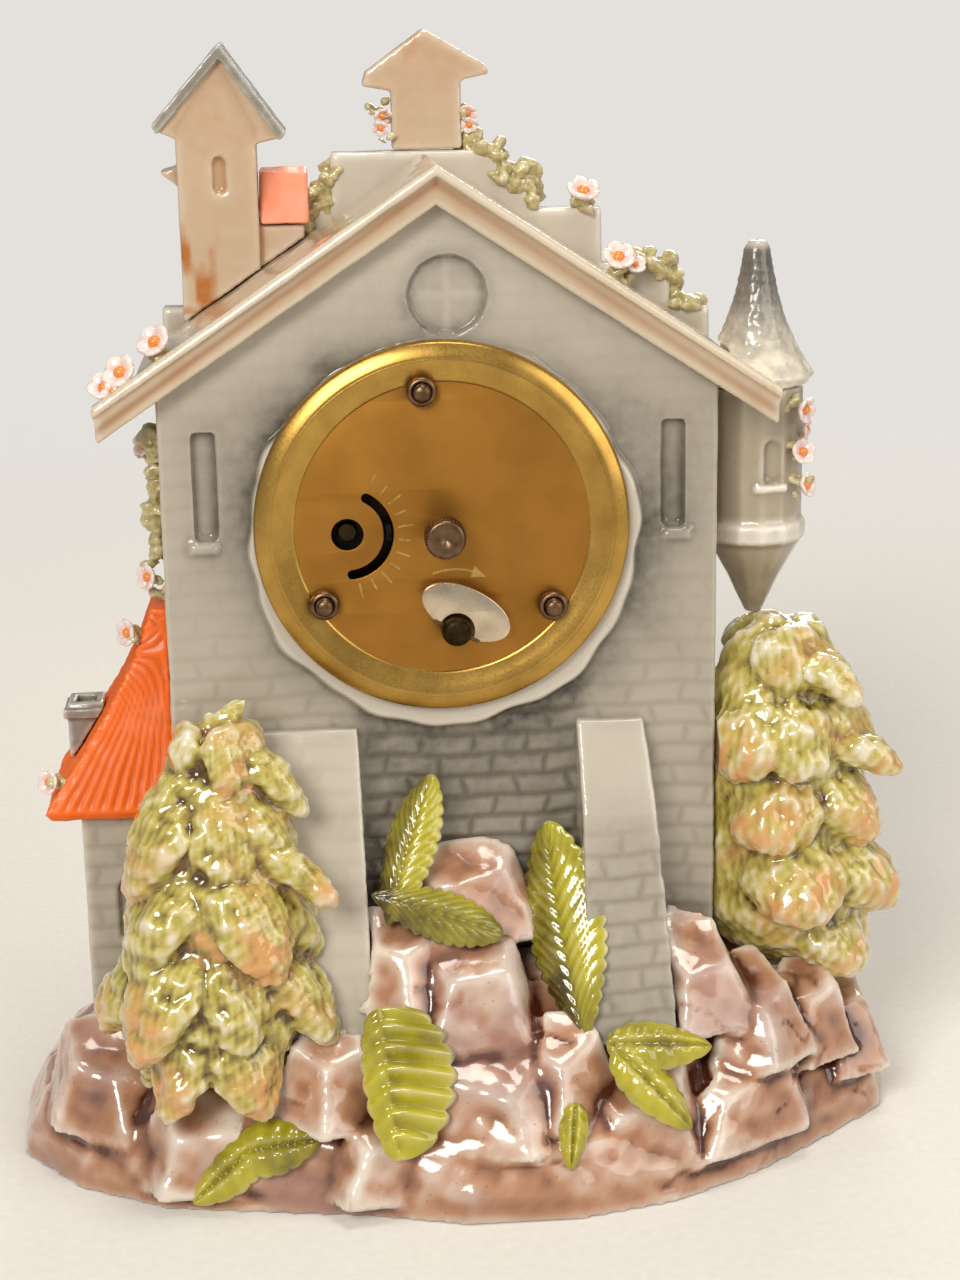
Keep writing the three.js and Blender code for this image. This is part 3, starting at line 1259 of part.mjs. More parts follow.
function balance() {
  const [y0, y1] = [LEVEL.balance - 0.6, LEVEL.balance + 0.6];
  const rim = pipe(BALANCE_R - 1, BALANCE_R, y0, y1, BALANCE, MEDIUM);
  const arms = [30].map((angle) => {
    const at = (along, across) => polar(across, (angle + 90) * RAD, polar(along, angle * RAD, BALANCE));
    const reach = BALANCE_R - 0.5;
    const outline = [at(-reach, -0.55), at(reach, -0.55), at(reach, 0.55), at(-reach, 0.55)];
    return alongY(polygon(raised(outline)), y0 + 0.2, y1 - 0.2);
  });
  const roller = rod(2, y1 - 0.1, y1 + 0.6, BALANCE, SMALL);
  const impulse = rod(0.3, y1, y1 + 1.1, polar(1.5, 75 * RAD, BALANCE), 5);
  return join(arbor(BALANCE), rim, ...arms, roller, impulse);
}

function hairspring() {
  const [y0, y1] = [LEVEL.hairspring - 0.35, LEVEL.hairspring + 0.35];
  const collet = pipe(ARBOR_R + GAP, 1.6, y0, y1, BALANCE);
  return join(collet, alongY(spiral(BALANCE, 1.5, 4, 2.5, 0.3, 18), y0, y1));
}

// Regulator: a sprung ring on the balance boss, with a curb pin inside and a tab in the cap's slot
function regulator() {
  const [y0, y1] = [BACK_PLATE_Y[0] - 1.8, BACK_PLATE_Y[0] - 0.9];
  const tabAngle = REGULATOR_ANGLE;
  const halfTab = 11;
  const collarRing = pipe(BOSS_R + GAP, 3.7, y0, y1, BALANCE, MEDIUM);
  const at = (r, degrees) => polar(r, degrees * RAD, BALANCE);
  const tail = [at(3.2, tabAngle - 20), at(8.4, tabAngle - 6), at(8.4, tabAngle + 6), at(3.2, tabAngle + 20)];
  const inner = [halfTab, halfTab / 2, 0, -halfTab / 2, -halfTab].map((a) => at(SLOT_R - 0.5, tabAngle + a));
  const outer = [-halfTab, -halfTab / 2, 0, halfTab / 2, halfTab].map((a) => at(SLOT_R + 0.5, tabAngle + a));
  const opposite = tabAngle + 180;
  const curbEnd = [at(5.2, opposite - 7), at(5.2, opposite + 7)];
  const curbArm = [at(3.2, opposite - 15), ...curbEnd, at(3.2, opposite + 15)];
  return join(
    collarRing,
    alongY(polygon(raised(tail)), y0, y1),
    alongY(polygon(raised([...inner, ...outer])), CAP_FACE_Y - 0.9, y1),
    alongY(polygon(raised(curbArm)), y0, y1),
    rod(CURB_PIN_R, y0 + 0.1, LEVEL.hairspring + 0.3, at(CURB_R, opposite), PIN),
  );
}

// Hand setting and motion work
const KNOB = { r: 3.9, y0: CAP_FACE_Y - 10, y1: CAP_FACE_Y - 5, flutes: 14 };
const HANDS_Y = { hour: 24, minute: 25.5 };
const CANNON_Y = 15.3;
const HOUR_Y = 17.8;
const motion = {
  minute: meshed(0, MINUTE_MESH.leaves, MINUTE_MESH.teeth, CENTRE, MINUTE_AT),
  hour: meshed(0, HOUR_MESH.leaves, HOUR_MESH.teeth, MINUTE_AT, CENTRE),
};

const centreArbor = () => rod(CENTRE_ARBOR_R, KNOB.y0 + 1.4, HANDS_Y.minute + 0.8, CENTRE);

function settingKnob() {
  const edge = Array.from({ length: 2 * KNOB.flutes }, (_, i) => {
    return polar(i % 2 ? KNOB.r : KNOB.r - 0.28, (Math.PI * i) / KNOB.flutes, CENTRE);
  });
  const barrelForm = alongY(polygon(raised(edge)), KNOB.y0 + 0.4, KNOB.y1);
  const dimple = [[0.5, KNOB.y0 + 0.45], [0, KNOB.y0 + 0.45]];
  const edgeOn = [[0, KNOB.y0 + 1], [3.6, KNOB.y0 + 1], [3.6, KNOB.y0 + 0.3], [3.2, KNOB.y0], [0.7, KNOB.y0]];
  const face = turned([...dimple, ...edgeOn], CENTRE, MEDIUM);
  const bore = rod(CENTRE_ARBOR_R + GAP, KNOB.y0 + 1.1, KNOB.y1 + 1, CENTRE);
  return cut(join(barrelForm, face), bore);
}

function cannonPinion() {
  const pipeForm = rod(1.75, FRONT_PLATE_Y[1] + GAP, HANDS_Y.minute + 0.4, CENTRE, SMALL);
  const leaves = pinion(MINUTE_MESH, 0, CENTRE, CANNON_Y - 0.8, CANNON_Y + 0.8);
  return cut(join(pipeForm, leaves), rod(CENTRE_ARBOR_R + GAP, 10, 30, CENTRE, SMALL));
}

function minuteWheel() {
  return join(
    turned(
      [
        [0, FRONT_PLATE_Y[0] + 0.2],
        [PIVOT_R, FRONT_PLATE_Y[0] + 0.2],
        [PIVOT_R, FRONT_PLATE_Y[1] + GAP],
        [ARBOR_R, FRONT_PLATE_Y[1] + GAP],
        [ARBOR_R, HOUR_Y + 1.4],
        [0, HOUR_Y + 1.4],
      ],
      MINUTE_AT,
      PIN,
    ),
    wheel(MINUTE_MESH, motion.minute, MINUTE_AT, CANNON_Y, WHEEL_THICK),
    pinion(HOUR_MESH, 0, MINUTE_AT, CANNON_Y + 0.3, HOUR_Y + 1),
  );
}

function hourWheel() {
  const pipeForm = rod(2.6, HOUR_Y - 0.5, HANDS_Y.hour + 0.6, CENTRE, SMALL);
  const bore = rod(1.75 + GAP, 10, 30, CENTRE, SMALL);
  return cut(join(wheel(HOUR_MESH, motion.hour, CENTRE, HOUR_Y, WHEEL_THICK), pipeForm), bore);
}

// A spade hand: boss, stem, spade and point, pointing at the given clock angle from twelve
function hand(length, boss, bore, y, clockDegrees) {
  const along = (90 + clockDegrees) * RAD;
  const at = (reach, across) => polar(across, along - Math.PI / 2, polar(reach, along, CENTRE));
  const spade = [[0.55 * length, 0.6], [0.62 * length, 2.6], [0.72 * length, 2.2], [0.82 * length, 0.5]];
  const side = [[boss - 0.3, 0.8], ...spade];
  const outline = [...side.map((p) => at(...p)), at(length, 0), ...side.reverse().map(([r, w]) => at(r, -w))];
  const blade = alongY(polygon(raised(outline)), y - 0.3, y + 0.3);
  return join(blade, pipe(bore, boss, y - 0.3, y + 0.3, CENTRE, SMALL));
}

// Dial, bezel and glass
const DIAL_R = 36;
const BEZEL_R = 40;

function dial() {
  const y = FRONT_Y + GAP;
  return turned([[2.9, y], [DIAL_R, y], [DIAL_R, y + 0.9], [2.9, y + 0.9]], CENTRE, LARGE);
}

function bezel() {
  const y = FRONT_Y + GAP;
  const inner = DIAL_R + GAP;
  return turned(
    [[inner, y], [BEZEL_R, y], [BEZEL_R, y + 1.4], [37.6, y + 5.8], [34.6, y + 6.2], [inner, y + 5.6]],
    CENTRE,
    LARGE,
  );
}

function crystal() {
  const y = FRONT_Y + GAP + 4.4;
  return turned(
    [[0, y + 2.4], [22, y + 1.6], [35.9, y], [35.9, y + 0.9], [22, y + 2.7], [0, y + 3.5]],
    CENTRE,
    LARGE,
  );
}

piece("rear_cap", rearCap(), BRASS);
PILLARS.forEach((place, i) => piece(`cap_nut_${i + 1}`, capNut(place), STEEL));
piece("back_plate", backPlate(), PLATE_BRASS);
piece("front_plate", frontPlate(), PLATE_BRASS);
piece("mainspring_barrel", barrel(), PLATE_BRASS);
piece("mainspring", mainspring(), STEEL);
piece("barrel_arbor", barrelArbor(), STEEL);
piece("ratchet_wheel", ratchet(), STEEL);
piece("click", click(), STEEL);
piece("key_hub", keyHub(), STEEL);
piece("key_pin", keyPin(), STEEL);
piece("key_wing", keyWing(), NICKEL);
piece(
  "intermediate_wheel",
  trainWheel(INTERMEDIATE_AT, GREAT, train.second, LEVEL.great, INTERMEDIATE, LEVEL.second),
  PLATE_BRASS,
);
piece("centre_wheel", centreWheel(), PLATE_BRASS);
piece(
  "third_wheel",
  trainWheel(THIRD_AT, CENTRE_MESH, train.third, LEVEL.centre, THIRD, LEVEL.third),
  PLATE_BRASS,
);
piece(
  "fourth_wheel",
  trainWheel(FOURTH_AT, THIRD, train.fourth, LEVEL.third, FOURTH, LEVEL.fourth),
  PLATE_BRASS,
);
piece("escape_wheel", escapeWheel(), STEEL);
piece("pallet_lever", palletLever(), STEEL);
piece("balance_wheel", balance(), PLATE_BRASS);
piece("hairspring", hairspring(), STEEL);
piece("regulator_index", regulator(), NICKEL);
piece("centre_arbor", centreArbor(), STEEL);
piece("setting_knob", settingKnob(), STEEL);
piece("cannon_pinion", cannonPinion(), STEEL);
piece("minute_wheel", minuteWheel(), PLATE_BRASS);
piece("hour_wheel", hourWheel(), PLATE_BRASS);
piece("hour_hand", hand(17, 4.2, 2.9, HANDS_Y.hour, 60), STEEL);
piece("minute_hand", hand(26, 3.2, 2.05, HANDS_Y.minute, -60), STEEL);
piece("dial", dial(), ENAMEL);
piece("bezel", bezel(), BRASS);
piece("crystal", crystal(), CLEAR);

clock.rotation.z = Math.PI;

export default clock;
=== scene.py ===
"""Porcelain cottage clock, seen from behind.

A glazed house, rock, firs and flowers stand round a brass-backed movement.
"""

import math

import bmesh
import bpy
import numpy as np
from bpy.props import FloatProperty, FloatVectorProperty, IntProperty, PointerProperty
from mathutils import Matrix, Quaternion, Vector
from mathutils.bvhtree import BVHTree


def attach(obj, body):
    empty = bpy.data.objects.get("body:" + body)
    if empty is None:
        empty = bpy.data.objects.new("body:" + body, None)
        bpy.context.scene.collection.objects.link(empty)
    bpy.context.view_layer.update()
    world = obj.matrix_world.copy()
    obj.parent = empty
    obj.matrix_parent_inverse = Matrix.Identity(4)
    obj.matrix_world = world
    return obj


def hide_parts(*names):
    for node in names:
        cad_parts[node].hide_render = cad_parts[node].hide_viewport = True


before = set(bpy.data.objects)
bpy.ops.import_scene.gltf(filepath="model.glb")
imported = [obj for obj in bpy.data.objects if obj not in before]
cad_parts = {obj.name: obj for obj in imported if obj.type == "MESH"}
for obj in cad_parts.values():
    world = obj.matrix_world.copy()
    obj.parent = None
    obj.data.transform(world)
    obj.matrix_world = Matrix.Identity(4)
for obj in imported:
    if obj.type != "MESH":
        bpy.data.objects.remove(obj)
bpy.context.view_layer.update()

bl_info = {
    "name": "Porcelain Cottage Clock",
    "version": (1, 0, 0),
    "blender": (4, 5, 0),
    "location": "View3D > Sidebar > Clock",
    "description": "Builds the glazed pieces, metalwork and stage of a porcelain cottage clock",
    "category": "Object",
}

# The bench frame of the part: millimetres, seen from behind, x right, y away from the viewer, z up
MM = 0.001
BENCH = np.array([-1000.0, -1000.0, 1000.0])
DIAL_Z = 128.0
BACK_Y = -22.0
FRONT_Y = 22.0
CAP_FACE_Y = -25.6
BALANCE = (-18.2, -0.6)
BARREL = (2.1, -19.2)
STUDS = ((-3.5, 26.7), (-23.0, -13.9), (20.9, -15.5))
RIM_TOP_Z, RIM_SLOPE = 196.5, 0.686

# Points nearer than this are one point; easing goes a step in and a slightly larger one back
MERGE = 0.002 * MM
EASE_STEPS = (0.5, -0.52)

# Sockets of the Mix node when it mixes colours
MIX_FACTOR, MIX_A, MIX_B, MIX_RESULT = 0, 6, 7, 2


def linear(colour):
    """An sRGB hex colour as linear red, green, blue and full alpha."""
    channels = [int(colour[i : i + 2], 16) / 255 for i in (0, 2, 4)]
    return (*[c / 12.92 if c <= 0.04045 else ((c + 0.055) / 1.055) ** 2.4 for c in channels], 1.0)


def colour_value(name, colour, description):
    return FloatVectorProperty(
        name=name, description=description, subtype="COLOR", size=4, min=0, max=1, default=linear(colour)
    )


def length_value(name, millimetres, description):
    return FloatProperty(
        name=name, description=description, unit="LENGTH", default=millimetres * MM, precision=5
    )


class ClockSizes(bpy.types.PropertyGroup):
    """Sizes of the surface detail"""

    course: length_value("Course height", 4.3, "Height of one course of bricks")
    brick: length_value("Brick length", 10.5, "Length of one brick")
    joint: length_value("Joint width", 0.7, "Half width of the soft joint between bricks")
    wall_cell: length_value("Wall cell", 1.1, "Mesh size of the walls before the rear face is refined")
    cell: length_value("Cell", 0.72, "Mesh size of the small glazed pieces")
    fir_cell: length_value("Fir cell", 0.62, "Mesh size of the firs")
    rock_cell: length_value("Rock cell", 0.95, "Mesh size of the rock")
    petal: length_value("Petal length", 3.4, "Length of a petal of a bloom of unit size")
    petals: IntProperty(name="Petals", description="Petals on each bloom", default=5, min=3)
    knurls: IntProperty(name="Knurls", description="Ribs round the setting knob", default=44, min=8)


class ClockColours(bpy.types.PropertyGroup):
    """Glaze and metal colours"""

    wall: colour_value("Wall", "bbb2a2", "Thin warm grey wall glaze")
    wall_deep: colour_value("Wall, pooled", "6c6354", "Wall glaze pooled in the joints")
    # The airbrush colour also paints shade in the window and slits, lower down and towards the right
    airbrush: colour_value("Airbrush", "39332a", "Dark grey sprayed round the openings")
    cream: colour_value("Cream", "d3c5ac", "Cream glaze of the towers and the roof rim")
    stain: colour_value("Stain", "b8712c", "Orange brown that has run along the cream glaze")
    orange: colour_value("Orange", "fb6d02", "Orange glaze of the tiles")
    slate: colour_value("Slate", "8b867c", "Silver grey glaze of the small roofs")
    rock: colour_value("Rock", "b58567", "Peach brown rock glaze")
    rock_deep: colour_value("Rock, pooled", "4f2518", "Reddish brown in the clefts of the rock")
    mauve: colour_value("Mauve", "a1827f", "Mauve wash on the faces of the rock")
    fir: colour_value("Fir", "c3b45c", "Yellow green of the boughs")
    # The pooled fir olive also paints the shade between the boughs
    fir_deep: colour_value("Fir, pooled", "553c12", "Olive between the boughs")
    fir_tip: colour_value("Fir tips", "d69c60", "Peach brushed on the tips of the boughs")
    leaf: colour_value("Leaf", "bcb22e", "Bright yellow green of the leaves")
    leaf_deep: colour_value("Leaf, pooled", "6e5c08", "Olive in the veins of the leaves")
    moss: colour_value("Moss", "c0b27c", "Ochre green of the moss and the flowers' leaves")
    petal: colour_value("Petal", "ecc9c6", "Pale pink of the petals")
    heart: colour_value("Heart", "f0881a", "Orange of the flowers' hearts")
    brass: colour_value("Brass", "d0a656", "Lacquered brass of the rim and the bezel")
    plate: colour_value("Plate", "b9833a", "Brown gold lacquer of the cap's plate")
    steel: colour_value("Steel", "846850", "Browned steel of the knob and the nuts")
    nickel: colour_value("Nickel", "ead8bd", "Warm nickel of the winding wing")


def add(tree, kind, sockets=None, stops=(), **options):
    """Adds a node: options are set on it, and a ramp gets its stops. Its sockets get a value or a link,
    from the socket that is given or from the first output of a node."""
    node = tree.nodes.new(kind)
    for name, value in options.items():
        setattr(node, name, value)
    for name, value in (sockets or {}).items():
        source = value.outputs[0] if isinstance(value, bpy.types.Node) else value
        if isinstance(source, bpy.types.NodeSocket):
            tree.links.new(source, node.inputs[name])
        else:
            node.inputs[name].default_value = source
    for i, (position, colour) in enumerate(stops):
        point = node.color_ramp.elements[i] if i < 2 else node.color_ramp.elements.new(position)
        point.position = position
        point.color = colour
    return node


def per(millimetres):
    """Scale of a pattern whose patches are about that size."""
    return 1 / (millimetres * MM)


def dressed(name, shade):
    """A material whose principled sockets are what shade makes from its tree and its Object coordinates."""
    material = bpy.data.materials.new(name)
    material.use_nodes = True
    tree = material.node_tree
    tree.nodes.clear()
    place = add(tree, "ShaderNodeTexCoord").outputs["Object"]
    shader = add(tree, "ShaderNodeBsdfPrincipled", shade(tree, place))
    add(tree, "ShaderNodeOutputMaterial", {"Surface": shader.outputs["BSDF"]})
    return material


def mixed(colour, other, share):
    """A colour part of the way to another, both linear."""
    return tuple(a + (b - a) * share for a, b in zip(colour, other))


def grey(level):
    return (level, level, level, 1.0)


WHITE = linear("f4eee2")
BLACK = linear("1d1a17")
IRON = linear("4a3520")

# Millimetres between iron specks, and across the grain of sprayed colour and the slow ripples of the glaze
SPECK_SPACING, SPRAY_GRAIN, RIPPLE = 2.6, 2.2, 3.2


def tones(deep, base, thin):
    """Colours from a hollow, where the glaze pools, to an edge, where it thins to the white clay."""
    return ((0.1, deep), (0.38, mixed(deep, base, 0.62)), (0.55, base), (0.9, mixed(base, WHITE, thin)))


def porcelain(ramp_tones, tint, patch, mottle, specks, gloss=0.2, wet=0.6, ripple=0.12):
    """Glazed porcelain under a wet coat: brushed colour that pools dark in hollows and thins over edges.
    The tone attribute runs from hollow to edge, and the tint attribute says where a second colour lies."""

    def shade(tree, place):
        tone = add(tree, "ShaderNodeAttribute", attribute_name="tone").outputs["Fac"]
        second = add(tree, "ShaderNodeAttribute", attribute_name="tint").outputs["Fac"]
        brushed = add(tree, "ShaderNodeTexNoise", {"Vector": place, "Scale": per(patch), "Detail": 5.0})
        swing = {0: brushed, 1: mottle, 2: -mottle / 2}
        swing = add(tree, "ShaderNodeMath", swing, operation="MULTIPLY_ADD")
        pooled = add(tree, "ShaderNodeMath", {0: tone, 1: swing}, operation="ADD", use_clamp=True)
        under = add(tree, "ShaderNodeValToRGB", {"Fac": pooled}, stops=ramp_tones)
        fine = add(tree, "ShaderNodeTexNoise", {"Vector": place, "Scale": per(SPRAY_GRAIN), "Detail": 6.0})
        spray = add(tree, "ShaderNodeMath", {0: fine, 1: 0.9, 2: 0.55}, operation="MULTIPLY_ADD")
        share = add(tree, "ShaderNodeMath", {0: second, 1: spray}, operation="MULTIPLY", use_clamp=True)
        tinted = {MIX_FACTOR: share, MIX_A: under, MIX_B: tint}
        tinted = add(tree, "ShaderNodeMix", tinted, data_type="RGBA").outputs[MIX_RESULT]
        scattered = {"Vector": place, "Scale": per(SPECK_SPACING), "Randomness": 1.0}
        grit = add(tree, "ShaderNodeTexVoronoi", scattered).outputs["Distance"]
        fading = ((0.0, grey(specks)), (0.11, grey(0.0)))
        dots = add(tree, "ShaderNodeValToRGB", {"Fac": grit}, stops=fading)
        speckled = {MIX_FACTOR: dots, MIX_A: tinted, MIX_B: IRON}
        slow = add(tree, "ShaderNodeTexNoise", {"Vector": place, "Scale": per(RIPPLE), "Detail": 2.0})
        rippled = {"Height": slow, "Strength": ripple, "Distance": 0.6 * MM}
        return {
            "Base Color": add(tree, "ShaderNodeMix", speckled, data_type="RGBA").outputs[MIX_RESULT],
            "Roughness": gloss,
            "IOR": 1.5,
            "Coat Weight": wet,
            "Coat Roughness": 0.05,
            "Normal": add(tree, "ShaderNodeBump", rippled),
        }

    return shade


def metal(colour, dark, roughness, wear=3.0, grain=0.5, streak=(1.0, 1.0, 1.0), scratch=0.06):
    """A turned or stamped metal: fine tool marks in the gloss, and duller lacquer in cloudy patches."""

    def shade(tree, place):
        turned = add(tree, "ShaderNodeMapping", {"Vector": place, "Scale": streak})
        marks = add(tree, "ShaderNodeTexNoise", {"Vector": turned, "Scale": per(grain), "Detail": 3.0})
        clouds = add(tree, "ShaderNodeTexNoise", {"Vector": place, "Scale": per(wear), "Detail": 6.0})
        lacquer = ((0.3, dark), (0.62, colour))
        uneven = {0: marks, 1: 0.2, 2: roughness - 0.1}
        scratched = {"Height": marks, "Strength": scratch, "Distance": 0.1 * MM}
        return {
            "Base Color": add(tree, "ShaderNodeValToRGB", {"Fac": clouds}, stops=lacquer),
            "Metallic": 1.0,
            "Roughness": add(tree, "ShaderNodeMath", uneven, operation="MULTIPLY_ADD"),
            "Normal": add(tree, "ShaderNodeBump", scratched),
        }

    return shade


def enamel(colour, shadow, roughness):
    """Stoved enamel or print: an even coat with a faint cloud in it and a soft gloss."""

    def shade(tree, place):
        clouds = add(tree, "ShaderNodeTexNoise", {"Vector": place, "Scale": per(9.0), "Detail": 4.0})
        fine = add(tree, "ShaderNodeTexNoise", {"Vector": place, "Scale": per(0.8), "Detail": 1.0})
        coats = ((0.3, shadow), (0.7, colour))
        return {
            "Base Color": add(tree, "ShaderNodeValToRGB", {"Fac": clouds}, stops=coats),
            "Roughness": roughness,
            "Normal": add(tree, "ShaderNodeBump", {"Height": fine, "Strength": 0.05, "Distance": 0.1 * MM}),
        }

    return shade


def clear_glass(tree, place):
    """Domed clock glass: clear, with faint polishing clouds in its gloss."""
    clouds = add(tree, "ShaderNodeTexNoise", {"Vector": place, "Scale": per(5.0), "Detail": 3.0})
    return {
        "Base Color": grey(1.0),
        "Roughness": add(tree, "ShaderNodeMath", {0: clouds, 1: 0.03}, operation="MULTIPLY"),
        "IOR": 1.45,
        "Transmission Weight": 1.0,
    }


def finishes(scene):
    """Every material of the clock by name; each is made once."""
    colours = scene.clock_colours
    look = {name: tuple(getattr(colours, name)) for name in ClockColours.__annotations__}
    brass, plate, steel, nickel = (look[name] for name in ("brass", "plate", "steel", "nickel"))
    burnt = mixed(look["orange"], BLACK, 0.55)
    charred = mixed(look["stain"], BLACK, 0.3)
    # The turret's cream, darkened as painted shade
    tan = mixed(look["cream"], look["wall_deep"], 0.42)
    lead = mixed(look["slate"], BLACK, 0.75)
    makers = {
        # Warm grey wash, paler on edges, grey in the joints and sprayed dark round the openings; its second
        # colour also paints shade in recesses, lower down and towards the right
        "glazed_wall_grey": porcelain(
            tones(look["wall_deep"], look["wall"], 0.55), look["airbrush"],
            patch=26.0, mottle=0.16, specks=0.2, wet=0.5,
        ),
        # Cream with orange brown runs, which at a low share give the peach of the tower tops
        "glazed_cream": porcelain(
            tones(charred, look["cream"], 0.6), look["stain"],
            patch=18.0, mottle=0.16, specks=0.25,
        ),
        # Cream darkened towards the pooled wall grey as painted shade on the turret, brown in its creases
        # and pale on its ring
        "glazed_tan": porcelain(
            tones(look["wall_deep"], tan, 0.9), linear("5a4526"),
            patch=18.0, mottle=0.2, specks=0.3,
        ),
        # Bright even orange that turns salmon where it is thin
        "glazed_orange": porcelain(
            tones(burnt, look["orange"], 0.04), linear("f2ab90"),
            patch=9.0, mottle=0.12, specks=0.15, gloss=0.42, wet=0.12,
        ),
        # Silver grey with dark hollows that fades to cream at the foot of the cone
        "glazed_slate_grey": porcelain(
            tones(lead, look["slate"], 0.7), linear("ece2cd"),
            patch=4.0, mottle=0.3, specks=0.3, gloss=0.26,
        ),
        # Wet peach faces with mauve patches, red brown in the clefts and pale worn edges that also carry a
        # painted highlight
        "glazed_rock": porcelain(
            tones(look["rock_deep"], look["rock"], 0.7), look["mauve"],
            patch=14.0, mottle=0.13, specks=0.6, gloss=0.16, wet=0.8, ripple=0.06,
        ),
        # Wet cream green with olive hollows, pooled glaze and painted shade between the boughs, and peach
        # tips
        "glazed_fir": porcelain(
            tones(look["fir_deep"], look["fir"], 0.7), look["fir_tip"],
            patch=8.0, mottle=0.5, specks=0.6, gloss=0.14, wet=1.0, ripple=0.16,
        ),
        # Bright yellow green with olive veins
        "glazed_leaf": porcelain(
            tones(look["leaf_deep"], look["leaf"], 0.45), linear("4c3f0b"),
            patch=5.0, mottle=0.24, specks=0.4, gloss=0.14, wet=0.9,
        ),
        # Dull ochre green with brown hollows
        "glazed_moss": porcelain(
            tones(linear("4b3a14"), look["moss"], 0.5), linear("86703a"),
            patch=3.0, mottle=0.5, specks=0.4,
        ),
        # Pale pink, deeper where petals meet
        "glazed_petal_pink": porcelain(
            tones(linear("c07f8c"), look["petal"], 0.7), linear("c9788c"),
            patch=2.2, mottle=0.7, specks=0.0,
        ),
        # Orange bud in the middle of a bloom
        "glazed_heart_orange": porcelain(
            tones(linear("a85a10"), look["heart"], 0.05), linear("a8600f"),
            patch=0.9, mottle=0.7, specks=0.0,
        ),
        # Bright gold of the rolled rim
        "lacquered_brass": metal(brass, mixed(brass, linear("6b4313"), 0.4), 0.3, wear=9.0),
        # Browner, flatter gold of the stamped plate
        "lacquered_plate_brass": metal(
            plate, mixed(plate, linear("5f3a0d"), 0.3), 0.44, wear=12.0, grain=0.35
        ),
        # Cut lines, paler gold as a painted highlight where they catch the light
        "engraved_brass": metal(linear("dfbd74"), linear("b98f43"), 0.3, wear=2.0),
        # Dark brown metal of nuts and knob
        "browned_steel": metal(steel, mixed(steel, BLACK, 0.5), 0.34, wear=1.6, grain=0.4),
        # Dull brown brass of the key's hub, and on the back plate painted shade behind the slot and the eye
        "aged_brass": metal(linear("3f321f"), linear("241b11"), 0.5, wear=2.0),
        # Near black metal of the regulator
        "blackened_steel": metal(linear("2b2723"), linear("171513"), 0.5, wear=2.0),
        # Pale warm silver with long polishing marks
        "polished_nickel": metal(
            nickel, mixed(nickel, linear("8d6f4e"), 0.35), 0.24, wear=4.0, grain=0.6, streak=(1.0, 1.0, 6.0)
        ),
        # Clean gold of wheels and plates
        "movement_brass": metal(linear("c9a559"), linear("a07a34"), 0.32, streak=(1.0, 1.0, 8.0)),
        # Grey steel of arbors and springs
        "movement_steel": metal(linear("a7a39c"), linear("6f6a63"), 0.3, wear=2.0),
        # Blue black hands and hairspring
        "blued_steel": metal(linear("39415c"), linear("20243a"), 0.26),
        "dial_enamel": enamel(linear("f1ead8"), linear("e4dac2"), 0.28),
        "printed_black": enamel(linear("2a2622"), linear("3a332b"), 0.5),
        "domed_glass": clear_glass,
    }
    return {name: bpy.data.materials.get(name) or dressed(name, shade) for name, shade in makers.items()}


def link(name, mesh):
    """A new object of that mesh at the origin."""
    obj = bpy.data.objects.new(name, mesh)
    bpy.context.scene.collection.objects.link(obj)
    return obj


def shaped(name, points, faces):
    """A new piece from points in bench millimetres."""
    mesh = bpy.data.meshes.new(name)
    mesh.from_pydata((np.asarray(points, float) / BENCH).tolist(), [], faces)
    return link(name, mesh)


def reshaped(obj, change):
    """Runs a change on the piece's mesh, opened for editing."""
    shape = bmesh.new()
    shape.from_mesh(obj.data)
    change(shape)
    shape.to_mesh(obj.data)
    shape.free()
    return obj


def close(shape):
    """Merges doubled points, drops empty faces and turns every face outward."""
    bmesh.ops.remove_doubles(shape, verts=shape.verts, dist=MERGE)
    bmesh.ops.dissolve_degenerate(shape, edges=shape.edges, dist=0.0005 * MM)
    bmesh.ops.recalc_face_normals(shape, faces=shape.faces)


def copied(name, node):
    """A new piece from the merged copy of a CAD node."""
    obj = link(name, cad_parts[node].data.copy())
    return reshaped(obj, lambda shape: bmesh.ops.remove_doubles(shape, verts=shape.verts, dist=MERGE))


def settle(obj):
    """Turns what an object's modifiers make into its own plain mesh."""
    bpy.context.view_layer.update()
    evaluated = obj.evaluated_get(bpy.context.evaluated_depsgraph_get())
    mesh = bpy.data.meshes.new_from_object(evaluated)
    obj.modifiers.clear()
    obj.data = mesh
    return obj


def remeshed(obj, cell):
    """One even closed skin round everything in the piece."""
    modifier = obj.modifiers.new("Skin", "REMESH")
    modifier.mode = "VOXEL"
    modifier.voxel_size = cell
    return settle(obj)


def joined(obj, *others):
    """The first piece with the meshes of the others added to it."""

    def take(shape):
        for other in others:
            shape.from_mesh(other.data)
            bpy.data.objects.remove(other)

    return reshaped(obj, take)


def seat(obj, material, slot, *nodes, body="case", sharp=None):
    """Finishes a piece: smooth faces, material, body and the CAD nodes that it stands for; the slot is not
    used.
    """
    if material is not None:
        obj.data.materials.clear()
        obj.data.materials.append(material)
    obj.data.shade_smooth()
    if sharp is not None:
        obj.data.set_sharp_from_angle(angle=math.radians(sharp))
    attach(obj, body)
    if nodes:
        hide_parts(*nodes)
    return obj


def coat(node, material):
    """A better finish on a CAD node whose shape stays."""
    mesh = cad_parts[node].data
    mesh.materials.clear()
    mesh.materials.append(material)


